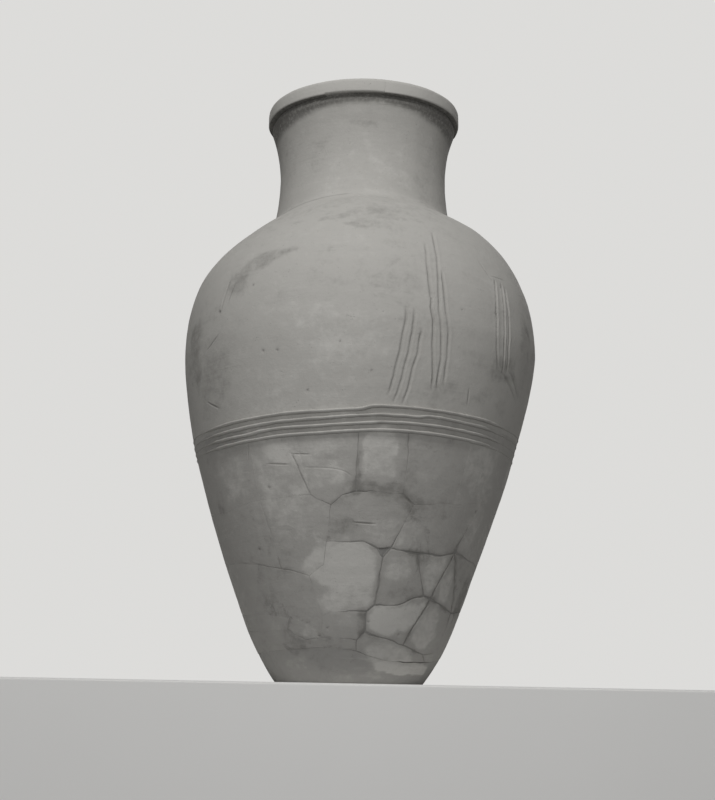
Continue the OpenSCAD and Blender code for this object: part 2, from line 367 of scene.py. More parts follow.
def inside_outline(points: Array, outline: Array) -> Array:
    """Whether each flat point lies inside a closed outline."""
    odd = np.zeros(len(points), bool)
    x, y = points[:, 0], points[:, 1]
    for (ax, ay), (bx, by) in zip(outline, np.roll(outline, -1, axis=0)):
        if ay == by:
            continue
        crosses = (ay > y) != (by > y)
        odd ^= crosses & (x < (bx - ax) * (y - ay) / (by - ay) + ax)
    return odd


# Break lines


class Course(Enum):
    """The courses of sherds from the foot up, as places in the map of breaks."""

    BASE = 0
    LOWER = 1
    MIDDLE = 2
    UPPER = 3
    BAND = 4
    BELLY = 5
    SHOULDER = 6
    NECK = 7
    RIM = 8

    @property
    def node_name(self) -> str:
        """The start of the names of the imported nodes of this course."""
        return f"{self.name.lower()}_{'segment' if self is Course.RIM else 'sherd'}"


LOWER_COURSES = (Course.BASE, Course.LOWER, Course.MIDDLE, Course.UPPER, Course.BAND)
UPPER_COURSES = (Course.BELLY, Course.SHOULDER, Course.NECK)


@dataclass(frozen=True)
class BreakMap:
    """The lines along which the jar broke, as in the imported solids.

    Each ring is a row of (azimuth, level), with level 100 at the rib band, 200 at the
    foot of the neck and 300 at the top of the lip. Each seam joins a corner of one ring
    to a corner of the next.
    """

    rings: tuple[Row, ...] = (
        [(-160, 12.5), (-130, 14.5), (-95, 13), (-60, 12.5), (-36, 13), (-16, 14), (4, 12.5),
         (21, 9.5), (40, 9), (58, 9.5), (80, 11.5), (110, 13.5), (140, 11.5), (170, 10.5)],
        [(-165, 19), (-135, 22), (-100, 20), (-75, 21.5), (-58, 20.5), (-36, 20.5),
         (-25, 16.5), (-16, 17.5), (4, 16.5), (8, 19.5), (12, 18.5), (25, 17), (33, 15.5),
         (52, 12.5), (68, 14), (90, 18), (115, 21), (140, 22.5), (168, 19.5)],
        [(-155, 27.5), (-125, 31.5), (-95, 29.5), (-75, 28), (-58, 27.5), (-33, 25),
         (-14, 25.5), (-10, 27.5), (0, 27), (8, 27.5), (12, 30), (24, 30.5), (31, 33),
         (38, 34.5), (43, 33.5), (65, 29.5), (80, 31.5), (110, 29.5), (140, 32.5),
         (172, 30.5)],
        [(-160, 46), (-125, 50.5), (-90, 48), (-60, 47.5), (-46, 46), (-33, 44),
         (-27, 42.5), (-19, 40.5), (-12, 44.5), (-10, 53.5), (5, 53.5), (11, 51), (14, 48),
         (17, 51.5), (30, 50), (42, 50.5), (51, 52.5), (70, 50.5), (100, 47), (135, 51.5),
         (165, 48.5)],
        [(-160, 67.5), (-120, 72.5), (-85, 69), (-60, 67.5), (-38, 70), (-16, 71), (-8, 67),
         (-4, 71), (1, 72.5), (19, 72), (24, 68.5), (42, 70.5), (60, 73.5), (95, 69.5),
         (130, 73.5), (165, 70.5)],
        [(az, 100) for az in (-165, -118, -72, -40, -22, 1, 18, 38, 44, 92, 120, 162)],
        [(-160, 149), (-146, 146), (-104, 150), (-78, 147), (-62, 145), (8, 150),
         (42, 147), (100, 151), (124, 148), (160, 145)],
        [(az, 200) for az in (-148, -80, -58, 4, 55, 98, 170)],
        [(az, LIP_FOOT_LEVEL) for az in (-130, -84, -23, 11, 50, 124, 166)],
        [(az, LIP_TOP_LEVEL) for az in (-132, -25, 13, 127)],
    )
    seams: tuple[tuple[Place, ...], ...] = (
        ((0, 0), (2, 2), (4, 5), (6, 8), (9, 13), (11, 16)),
        ((1, 1), (3, 3), (5, 5), (7, 6), (9, 9), (12, 14), (14, 15), (16, 17), (18, 19)),
        ((0, 0), (2, 2), (4, 4), (6, 7), (10, 12), (13, 14), (14, 16), (15, 16), (18, 19)),
        ((0, 0), (2, 2), (5, 4), (9, 6), (13, 10), (16, 12), (19, 14)),
        ((1, 1), (4, 3), (5, 4), (8, 5), (9, 6), (11, 8), (13, 9), (15, 11)),
        ((0, 0), (2, 3), (7, 6), (10, 8)),
        ((1, 0), (4, 2), (5, 3), (7, 5)),
        ((1, 1), (4, 4), (6, 6)),
        ((0, 0), (2, 1), (3, 2), (5, 3)),
    )
    notch: tuple[int, int] = (3, 12)
    piece_length: float = 4.6
    gape_least: float = 0.03

    # Where the breaks gape: azimuth, height, radius of the place, and how wide, 0 to 1
    open_places: tuple[tuple[float, float, float, float], ...] = (
        (2, 264, 30, 0.4), (14, 248, 34, 0.85), (27, 238, 34, 0.9), (40, 242, 34, 0.95),
        (51, 251, 34, 0.95), (57, 220, 36, 0.9), (65, 165, 40, 0.75), (45, 206, 34, 0.85),
        (42, 162, 30, 1.0), (28, 152, 40, 0.62), (13, 180, 36, 0.7), (10, 128, 34, 0.85),
        (11, 92, 30, 0.85), (25, 80, 30, 0.55), (36, 98, 34, 0.85), (40, 135, 34, 0.95),
        (56, 140, 36, 0.8), (42, 46, 26, 0.8), (54, 42, 24, 0.6), (1, 440, 34, 0.32),
        (1, 395, 34, 0.36), (1, 352, 26, 0.6), (-8, 328, 24, 0.3), (-14, 330, 30, 0.15),
        (17, 440, 40, 0.3), (-30, 206, 28, 0.35), (-42, 217, 30, 0.2), (-22, 193, 24, 0.2),
        (-12, 232, 22, 0.25), (20, 332, 24, 0.15), (-25, 82, 30, 0.15), (-60, 250, 60, 0.1),
        (95, 200, 90, 0.6), (150, 240, 110, 0.55), (-120, 200, 110, 0.45),
        (-150, 380, 120, 0.35), (120, 390, 120, 0.4), (-95, 330, 90, 0.3),
        (170, 120, 80, 0.5), (-100, 90, 80, 0.4),
    )

    def height(self, level: float) -> float:
        """Height of a level on the map."""
        tall = 2 * WALL.total_h - WALL.root_z
        return float(np.interp(level, (0, 100, 200, 300, 400),
                               (0, WALL.band_z, WALL.root_z, WALL.total_h, tall)))

    def corner(self, ring: int, i: int) -> Place:
        """A corner of a ring as (azimuth, height), counted on past its end."""
        row = self.rings[ring]
        az, level = row[i % len(row)]
        return az + FULL_TURN * (i // len(row)), self.height(level)

    def corners(self, course: Course, k: int) -> Row:
        """The corners of a sherd: along the ring below, then back along the ring above."""
        c = course.value
        seams = self.seams[c]
        left, right = seams[k], seams[(k + 1) % len(seams)]
        if k + 1 == len(seams):
            right = (right[0] + len(self.rings[c]), right[1] + len(self.rings[c + 1]))
        below = [
            self.corner(c, i)
            for i in range(left[0], right[0] + 1)
            if (c, i % len(self.rings[c])) != self.notch
        ]
        above = [self.corner(c + 1, i) for i in range(right[1], left[1] - 1, -1)]
        return below + above

    def pieces(self, p: Place, q: Place) -> int:
        """Into how many short pieces the break from p to q is cut."""
        middle = (p[1] + q[1]) / 2
        across = arc(q[0] - p[0], float(WALL.outer_r(middle)))
        return max(1, math.ceil(math.hypot(across, q[1] - p[1]) / self.piece_length))

    def jagged(self, corners: Row, closed: bool = True) -> Array:
        """Points along a break with the small teeth of fired clay, the same from both sides.

        Args:
            corners: The break's corners as (azimuth, height).
            closed: Whether the last corner is joined to the first.

        Returns:
            Rows of [azimuth, height].
        """
        points = []
        for p, q in zip(corners, corners[1:] + corners[:1] if closed else corners[1:]):
            n = self.pieces(p, q)
            t = np.arange(n)[:, None] / n
            points.append(np.array(p) * (1 - t) + np.array(q) * t)
        if not closed:
            points.append(np.array([corners[-1]]))
        line = np.vstack(points).astype(float)
        r, solid = WALL.outer_r(line[:, 1]), WALL.solid(line)
        free = 1.0 - smooth_step(WALL.neck_top_z - 30, WALL.neck_top_z - 10, line[:, 1])
        for size, reach, seed in ((34, 2.0, 21), (11, 0.9, 22)):
            line[:, 0] += free * reach * soft_noise(solid, size, seed) / r * HALF_TURN / math.pi
            line[:, 1] += free * reach * soft_noise(solid, size, seed + 50)
        return line

    def gape(self, places: Array) -> Array:
        """How far the breaks gape at each [azimuth, height], from 0 to 1."""
        az, z = places.T
        r = WALL.outer_r(z)
        wide = np.full(len(places), self.gape_least)
        for spot_az, spot_z, radius, strength in self.open_places:
            away = np.hypot(arc(swing(az, spot_az), r), z - spot_z) / radius
            wide = np.maximum(wide, strength * np.exp(-(away**2) * 0.8))
        wide *= 1 + 0.28 * soft_noise(WALL.solid(places), 22, 31)
        return np.clip(wide, 0, 1) * (1 - smooth_step(WALL.band_z - 30, WALL.band_z - 8, z))


BREAKS = BreakMap()


# Marks in the surface


@dataclass(frozen=True)
class Stroke:
    """A groove, crack or ridge that runs along a line on the wall."""

    line: Row
    half_width: float = 2.6
    depth: float = 1.9
    burr: float = 0.6
    stain: float = 0.3
    seen: bool = True

    def places(self) -> Array:
        """The line as rows of [azimuth, height], with rounded corners."""
        rough = [WALL.upright(*p) if self.seen else p for p in self.line]
        p = np.array(rough, float)
        for _ in range(2):
            if len(p) > 2:
                first, second = p[:-1] * 0.75 + p[1:] * 0.25, p[:-1] * 0.25 + p[1:] * 0.75
                cut = np.stack([first, second], axis=1).reshape(-1, 2)
                p = np.vstack([p[:1], cut[1:-1], p[-1:]])
        if not self.seen:
            return p
        p = even_steps(p, np.abs(np.diff(p, axis=0)).sum(1), 7)
        spots = np.column_stack([p * (5, 1), np.zeros(len(p))])
        p[:, 0] += layered(spots, (0.22, 22, 46), (0.1, 9, 47))
        p[:, 1] += 0.8 * soft_noise(spots, 22, 48)
        return p

    def rows(self, sheet: Sheet) -> tuple[Array, Array]:
        """Flat starts and ends of the short lines that make up the stroke."""
        flat = sheet.flat(self.places())
        return flat[:-1], flat[1:]

    def guides(self, sheet: Sheet, step: float = 3.4) -> Array:
        """Flat points beside the stroke, so that the mesh can follow its section."""
        flat = sheet.flat(self.places())
        middle = even_steps(flat, np.hypot(*np.diff(flat, axis=0).T), step)
        way = np.gradient(middle, axis=0)
        way /= np.maximum(np.hypot(*way.T), 1e-9)[:, None]
        side = np.column_stack([-way[:, 1], way[:, 0]])
        shares = (-2.5, -1.6, -1.0, -0.5, 0.0, 0.5, 1.0, 1.6, 2.5)
        return np.vstack([middle + side * self.half_width * s for s in shares])

    def relief(self, flat: Array, solid: Array, sheet: Sheet) -> tuple[Array, Array]:
        """Depth of the mark and its stain at flat points.

        Args:
            flat: Flat points, one to a row.
            solid: The same points on the jar, for the noise.
            sheet: The patch of wall that the points lie on.

        Returns:
            Depths in millimetres and stains from 0 to 1.
        """
        starts, ends = self.rows(sheet)
        depth, stain = np.zeros(len(flat)), np.zeros(len(flat))
        reach = self.half_width * 4
        low = np.minimum(starts, ends).min(0) - reach
        high = np.maximum(starts, ends).max(0) + reach
        near = np.all((flat > low) & (flat < high), axis=1)
        if not near.any():
            return depth, stain
        share = distance_to_lines(flat[near], starts, ends) / self.half_width
        uneven = 1 + 0.35 * soft_noise(solid[near], 26, 41)
        tip = np.minimum(
            np.hypot(*(flat[near] - starts[0]).T), np.hypot(*(flat[near] - ends[-1]).T)
        )
        uneven *= 0.35 + 0.65 * smooth_step(0, 5 * self.half_width, tip)
        cut = self.depth * np.exp(-1.1 * share**2)
        rise = self.burr * np.exp(-((share - 1.75) ** 2) * 2.2)
        depth[near] = (cut - rise) * uneven
        stain[near] = self.stain * np.exp(-0.7 * share**2) * uneven
        return depth, stain


@dataclass(frozen=True)
class Pit:
    """A small hollow where a grain or a chip came out of the skin."""

    az: float
    z: float
    radius: float
    depth: float
    stain: float = 0.6


@dataclass(frozen=True)
class Patch:
    """A lighter or darker place on the skin, with a ragged edge.

    Across and up are half sizes in millimetres. Tone runs from -1, dark, to 1, pale.
    A low edge value gives a crisp outline.
    """

    az: float
    z: float
    across: float
    up: float
    tone: float
    edge: float = 0.5
    turn: float = 0.0

    def tint(self, places: Array, solid: Array) -> Array:
        """The patch's share of the tone at each [azimuth, height]."""
        az, z = places.T
        u, v = arc(swing(az, self.az), WALL.outer_r(z)), z - self.z
        a = math.radians(self.turn)
        u, v = u * math.cos(a) + v * math.sin(a), v * math.cos(a) - u * math.sin(a)
        away = (np.abs(u / self.across) ** 2.6 + np.abs(v / self.up) ** 2.6) ** (1 / 2.6)
        away += layered(solid, (0.26, 34, 61), (0.17, 13, 62))
        return self.tone * (1 - smooth_step(1 - self.edge, 1 + self.edge * 0.6, away))


def comb(first: Row, last: Row, count: int = 3) -> list[Stroke]:
    """Evenly set strokes from one groove of a comb to another."""
    a, b = np.array(first, float), np.array(last, float)
    return [Stroke([tuple(p) for p in a * (1 - t) + b * t]) for t in np.linspace(0, 1, count)]


@dataclass(frozen=True)
class Surface:
    """All that was drawn, scratched, knocked or stained into the jar's skin, and the shadow under
    the lip painted onto it.
    """

    combs: tuple[Stroke, ...] = (
        Stroke([(21.8, 817), (20.7, 746), (22.3, 634), (24.1, 538)]),
        Stroke([(25.8, 846), (23.5, 702), (26, 590), (25.4, 540), (27.2, 533)]),
        Stroke([(25.6, 761), (26.5, 675), (27.4, 638), (28.1, 550)], depth=1.6),
        Stroke([(13.4, 676), (12.6, 606), (10.1, 522)]),
        Stroke([(16, 677), (15.5, 607), (12.2, 509)]),
        Stroke([(18.6, 640), (17.9, 594), (15.1, 506)]),
        Stroke([(48.2, 772), (45.7, 657), (49.1, 599)], depth=2.4, stain=0.5),
        Stroke([(51.7, 767), (49.8, 662), (51.9, 596)], depth=2.6, burr=0.9, stain=0.6),
        Stroke([(53.6, 760), (52.6, 670), (54.2, 599)], depth=1.8),
        Stroke([(53, 588), (58, 572), (64.3, 553)], depth=1.3),
        Stroke([(56.5, 597), (61, 580), (66, 560)], depth=1.0),
        Stroke([(-46.8, 760), (-49.1, 701)], depth=1.0, half_width=2.2),
        Stroke([(-44.2, 748), (-46.0, 712)], depth=0.7, half_width=2.0),
    )
    scratches: tuple[Stroke, ...] = tuple(Stroke(*row) for row in (
        ([(-32, 397), (-24, 394)], 1.5, 1.0, 0.1, 0.7),
        ([(-22.5, 412), (-16, 410)], 1.3, 0.8, 0.1, 0.5),
        ([(-22.5, 413), (-19, 373), (-16, 337)], 1.7, 0.8, 0.1, 0.5),
        ([(-18, 387), (-12, 385), (-5, 386), (-1, 372)], 1.2, 0.4, 0.05, 0.15),
        ([(-40, 441), (-41, 409)], 1.2, 0.6, 0.1, 0.3),
        ([(-38, 334), (-36, 294), (-34, 260)], 1.8, 0.3, 0.0, 0.15),
        ([(19, 340), (23.5, 325)], 2.0, 1.2, 0.2, 0.7),
        ([(1, 289), (5, 291), (9, 287)], 1.5, 0.9, 0.3, 0.4),
        ([(38, 547), (38.4, 516)], 1.5, 0.8, 0.1, 0.5),
        ([(-50, 652), (-53, 640), (-56, 630)], 1.2, 0.7, 0.1, 0.4),
        ([(-58.7, 531), (-56, 522), (-52.8, 514)], 1.7, 1.2, 0.2, 0.6),
        ([(65, 705), (67, 692), (69.6, 677)], 4.0, 2.4, 0.2, 0.6),
        ([(43, 806), (46, 772)], 1.4, 0.7, 0.1, 0.3),
        ([(47, 778), (54, 781)], 1.4, 0.7, 0.1, 0.3),
        ([(-68, 950), (-46, 950.5), (-24, 950), (-8, 951)], 1.5, 0.0, 0.0, 0.5, False),
        ([(150, 720), (152, 640), (149, 560)], 2.0, 1.1, 0.3, 0.2, False),
        ([(-140, 600), (-128, 570)], 1.6, 0.9, 0.2, 0.4, False),
        ([(118, 860), (135, 830), (150, 838)], 1.4, 0.8, 0.1, 0.4, False),
        ([(-98, 700), (-101, 610)], 1.5, 0.8, 0.1, 0.35, False),
    ))
    back_combs: tuple[Stroke, ...] = tuple(
        comb([(104, 800), (102, 690), (106, 560)], [(112, 806), (110, 690), (114, 556)])
        + comb([(-112, 790), (-114, 680), (-110, 545)], [(-104, 790), (-106, 690), (-103, 550)])
        + comb([(172, 810), (170, 700), (174, 570)], [(180, 815), (178, 700), (182, 575)])
    )
    pits: tuple[Pit, ...] = tuple(Pit(*row) for row in (
        (-50, 698, 3.4, 2.2, 0.9), (-43, 246, 3.2, 1.4, 0.8), (-31, 604, 2.6, 1.4),
        (-26, 602, 2.6, 1.3), (-16, 525, 2.2, 1.2), (-36, 737, 2.6, 1.2),
        (57.4, 331, 2.4, 1.6, 1.0), (-17, 86, 2.2, 1.2), (10, 112, 2.0, 1.0),
        (-12, 100, 1.8, 0.9), (28, 92, 2.0, 0.8), (-6, 612, 1.8, 0.8),
        (4, 560, 2.0, 0.8), (-33, 355, 2.6, 1.1), (32, 690, 1.6, 0.7),
        (120, 640, 3.0, 1.4), (-135, 730, 2.8, 1.3), (165, 470, 2.6, 1.2),
        (-80, 560, 2.6, 1.1), (84, 760, 2.2, 1.0), (-170, 880, 2.2, 1.0),
    ))

    # The shadow under the lip, painted into the clay with some grime: how far down it starts, how
    # much further at the sides, where the lip's shadow falls longer, how far it fades at the front
    # and more at the sides, and where the lip's edge ends it
    shadow_and_grime_start: float = 8.0
    side_drop: float = 36.0
    shadow_and_grime_fade: float = 13.0
    side_fade: float = 10.0
    shadow_and_grime_end: tuple[float, float] = (4.8, 3.4)

    patches: tuple[Patch, ...] = tuple(Patch(*row) for row in (
        # pale skin left on the sherds of the lower body
        (8, 407, 36, 52, 0.75, 0.16), (-17, 420, 80, 26, 0.4, 0.4),
        (-11, 377, 40, 36, 0.42, 0.2, 20), (-52, 393, 40, 46, 0.35, 0.4),
        (-18, 306, 52, 46, 0.3, 0.45), (-6, 215, 70, 44, 0.7, 0.3),
        (-2, 163, 52, 36, 0.55, 0.4), (17, 272, 66, 26, 0.42, 0.3),
        (22, 212, 34, 24, 0.4, 0.4), (42, 212, 30, 36, 0.55, 0.25),
        (52, 186, 18, 34, 0.55, 0.25), (25, 122, 60, 28, 0.72, 0.22),
        (45, 108, 36, 40, 0.6, 0.25), (26, 50, 50, 26, 0.5, 0.3),
        (40, 33, 76, 14, 0.95, 0.12), (-25, 97, 28, 14, 0.6, 0.12, -18),
        (53, 397, 58, 52, 0.3, 0.4), (58, 300, 36, 60, 0.25, 0.4),
        (-38, 300, 20, 40, 0.2, 0.4), (-4, 110, 30, 20, 0.22, 0.5),
        # darker fills and stains between them
        (2, 399, 7, 38, -0.5, 0.4), (8, 356, 56, 20, -0.5, 0.3, -14),
        (20, 380, 20, 30, -0.32, 0.4), (24, 331, 24, 24, -0.3, 0.4),
        (36, 320, 34, 24, -0.16, 0.4), (-14, 415, 150, 90, 0.32, 0.8),
        (-37, 297, 14, 62, -0.3, 0.5, 4), (-29, 226, 20, 30, -0.3, 0.6),
        (-63, 342, 22, 34, -0.35, 0.4), (-52, 205, 36, 22, -0.22, 0.5),
        (-33, 80, 26, 26, -0.45, 0.4), (24, 168, 38, 14, -0.32, 0.5),
        (74, 176, 26, 44, -0.45, 0.4), (6, 112, 8, 34, -0.4, 0.4),
        (-6, 282, 44, 14, -0.28, 0.5), (-45, 130, 60, 30, -0.15, 0.6),
        (1, 346, 9, 9, -0.7, 0.4), (70, 90, 40, 40, -0.2, 0.5),
        # the shoulder's wiped edge and the brown shadows of the fire
        (-38, 781, 62, 20, -0.55, 0.45, 24), (-43, 752, 34, 30, -0.45, 0.6),
        (-24, 806, 26, 7, -0.3, 0.3, 6), (-11, 873, 34, 6, -0.28, 0.35, 6),
        (-3, 852, 26, 5, -0.25, 0.35, -14), (-26, 874, 18, 5, -0.2, 0.4),
        (52, 590, 50, 28, -0.45, 0.5, 8), (38, 600, 30, 16, -0.25, 0.5),
        (-66, 640, 36, 60, -0.4, 0.5), (-55, 570, 70, 60, -0.4, 0.7),
        (-24, 610, 70, 22, -0.12, 0.7), (19, 613, 50, 20, -0.1, 0.6),
        (66, 640, 30, 90, -0.3, 0.5), (30, 530, 90, 18, -0.16, 0.6),
        (-8, 640, 120, 60, 0.16, 0.7), (0, 900, 240, 44, -0.2, 0.8),
        (-2, 1112, 34, 7, -0.4, 0.35, -6), (-30, 1060, 26, 60, -0.14, 0.7),
        (45, 1000, 30, 50, -0.16, 0.7), (0, 1010, 80, 60, 0.2, 0.8),
        # the sides and the back
        (110, 420, 60, 44, 0.4, 0.3), (140, 300, 66, 48, 0.45, 0.25),
        (178, 360, 60, 40, -0.3, 0.35), (-150, 250, 60, 44, 0.4, 0.3),
        (-110, 380, 60, 40, -0.25, 0.4), (-120, 150, 56, 34, 0.4, 0.3),
        (100, 140, 50, 36, 0.45, 0.3), (170, 130, 44, 40, -0.25, 0.4),
        (130, 700, 120, 60, -0.2, 0.6), (-130, 640, 100, 70, -0.25, 0.6),
        (-160, 820, 90, 40, -0.18, 0.5), (90, 850, 70, 40, 0.15, 0.6),
    ))

    @property
    def strokes(self) -> tuple[Stroke, ...]:
        """Every mark that runs along a line."""
        return self.combs + self.scratches + self.back_combs

    def near(self, places: Array) -> list[Stroke]:
        """The strokes that can reach an outline given as rows of [azimuth, height]."""
        low, high = places.min(0) - (4, 14), places.max(0) + (4, 14)
        found = []
        for stroke in self.strokes:
            p = stroke.places()
            for turn in (-FULL_TURN, 0, FULL_TURN):
                q = p + (turn, 0)
                if (q.max(0) > low).all() and (q.min(0) < high).all():
                    found.append(replace(stroke, line=[tuple(r) for r in q], seen=False))
        return found

    def under_lip(self, places: Array, solid: Array) -> Array:
        """How much painted shadow under the lip, with some grime, lies at each place, from 0 to 1;
        it reaches further down at the sides, as the lip's shadow does.
        """
        side = np.sin(np.radians(places[:, 0])) ** 2
        low = WALL.neck_top_z - self.shadow_and_grime_start - self.side_drop * side
        ragged = places[:, 1] + layered(solid, (3, 34, 98), (1.5, 9, 99))
        rising = smooth_step(0, 1, (ragged - low) / (self.shadow_and_grime_fade + self.side_fade * side))
        ends = (WALL.lip_z - end for end in self.shadow_and_grime_end)
        return rising * (1 - smooth_step(*ends, places[:, 1]))

    def tone(self, places: Array, solid: Array) -> Array:
        """The skin's tone from -1 to 1, from all patches."""
        return np.tanh(1.15 * sum(patch.tint(places, solid) for patch in self.patches))

    def skin(self, places: Array, flat: Array, sheet: Sheet,
             strokes: list[Stroke]) -> tuple[Array, Array]:
        """Depth and stain of everything in the skin.

        Args:
            places: Rows of [azimuth, height].
            flat: The same points laid flat.
            sheet: The patch of wall that they lie on.
            strokes: The strokes that can reach them.

        Returns:
            Depths in millimetres and stains from 0 to 1; the stains hold the painted shadow under
            the lip too.
        """
        r, solid = WALL.outer_r(places[:, 1]), WALL.solid(places)
        depth, stain = np.zeros(len(places)), np.zeros(len(places))
        for stroke in strokes:
            more, dirt = stroke.relief(flat, solid, sheet)
            depth += more
            stain = np.maximum(stain, dirt)
        for pit in self.pits:
            az, z = WALL.upright(pit.az, pit.z)
            away = np.hypot(arc(swing(places[:, 0], az), r), places[:, 1] - z) / pit.radius
            depth += pit.depth * np.exp(-1.2 * away**2)
            stain = np.maximum(stain, pit.stain * np.exp(-0.9 * away**2))
        # Painted shadow under the lip, with some grime, goes into the stain
        if places[:, 1].max() > WALL.neck_foot_z:
            stain = np.maximum(stain, self.under_lip(places, solid))
        rings = solid / (9, 9, 1)
        upper = smooth_step(WALL.band_z, WALL.belly_z, places[:, 1])
        depth += (0.1 + 0.16 * upper) * soft_noise(rings, 13, 44)
        depth += (0.26 - 0.1 * upper) * soft_noise(solid, 15, 45)
        return depth, stain


SURFACE = Surface()


# Meshes


@dataclass
class Skin:
    """Points, faces and painted values of one mesh while it is put together."""

    points: list[Array] = field(default_factory=list)
    faces: list[tuple[int, ...]] = field(default_factory=list)
    tone: list[Array] = field(default_factory=list)
    stain: list[Array] = field(default_factory=list)
    core: list[Array] = field(default_factory=list)
    count: int = 0

    def add(self, points: Array, tone: float | Array, stain: float | Array,
            core: float | Array) -> int:
        """Adds points with their painted values and returns the first one's number."""
        first, n = self.count, len(points)
        self.points.append(points)
        for values, value in ((self.tone, tone), (self.stain, stain), (self.core, core)):
            values.append(np.broadcast_to(np.asarray(value, float), (n,)))
        self.count += n
        return first

    def make(self, name: str, sharp_angle: float = 42) -> Thing:
        """The finished object, closed, shaded smooth and split at its sharp edges.

        Args:
            name: The piece's name.
            sharp_angle: The angle in degrees past which an edge is sharp.

        Returns:
            The object, linked to the scene.
        """
        mesh = bpy.data.meshes.new(name)
        mesh.from_pydata(np.vstack(self.points) * METRES, [], self.faces)
        for label, values in (("tone", self.tone), ("stain", self.stain), ("core", self.core)):
            layer = mesh.attributes.new(label, "FLOAT", "POINT")
            layer.data.foreach_set("value", np.concatenate(values).astype(np.float32))
        work = bmesh.new()
        work.from_mesh(mesh)
        bmesh.ops.remove_doubles(work, verts=work.verts, dist=2e-6)
        bmesh.ops.dissolve_degenerate(work, edges=work.edges, dist=1e-6)
        bmesh.ops.triangulate(work, faces=[f for f in work.faces if len(f.verts) > 4])
        bmesh.ops.recalc_face_normals(work, faces=work.faces)
        work.to_mesh(mesh)
        open_edges = sum(1 for e in work.edges if len(e.link_faces) != 2)
        work.free()
        if open_edges:
            LOG.warning("%s has %d open edges", name, open_edges)
        mesh.shade_smooth()
        mesh.set_sharp_from_angle(angle=math.radians(sharp_angle))
        mesh.update()
        return placed(name, mesh)


def placed(name: str, data: bpy.types.ID) -> Thing:
    """A new object with its data, linked to the scene."""
    piece = bpy.data.objects.new(name, data)
    bpy.context.scene.collection.objects.link(piece)
    return piece


def fill(outline: Array, edges: list[tuple[int, int]], inner: Array,
         shape: Array) -> tuple[Array, list[tuple[int, ...]], dict[int, int]]:
    """Fills a closed outline with triangles through the points given.

    Args:
        outline: Flat points of the outline.
        edges: Pairs of outline points, anticlockwise.
        inner: Flat points inside it.
        shape: The outline's points in order, to leave out what lies outside it.

    Returns:
        All points, the triangles, and the place of each outline point among them.
    """
    points = np.vstack([outline, inner]) if len(inner) else outline
    out, _, faces, sources, _, _ = geometry.delaunay_2d_cdt(
        [Vector(p) for p in points], edges, [], 1, 1e-5, True
    )
    where = {source: i for i, found in enumerate(sources) for source in found}
    flat = np.array([tuple(v) for v in out])
    keep = inside_outline(flat[np.array(faces)].mean(axis=1), shape)
    return flat, [tuple(f) for f, kept in zip(faces, keep) if kept], where


def outer_edges(faces: list[tuple[int, ...]]) -> list[tuple[int, int]]:
    """The edges that only one face uses, in that face's direction."""
    seen = dict.fromkeys(pair for face in faces for pair in zip(face, face[1:] + face[:1]))
    return [(a, b) for a, b in seen if (b, a) not in seen]


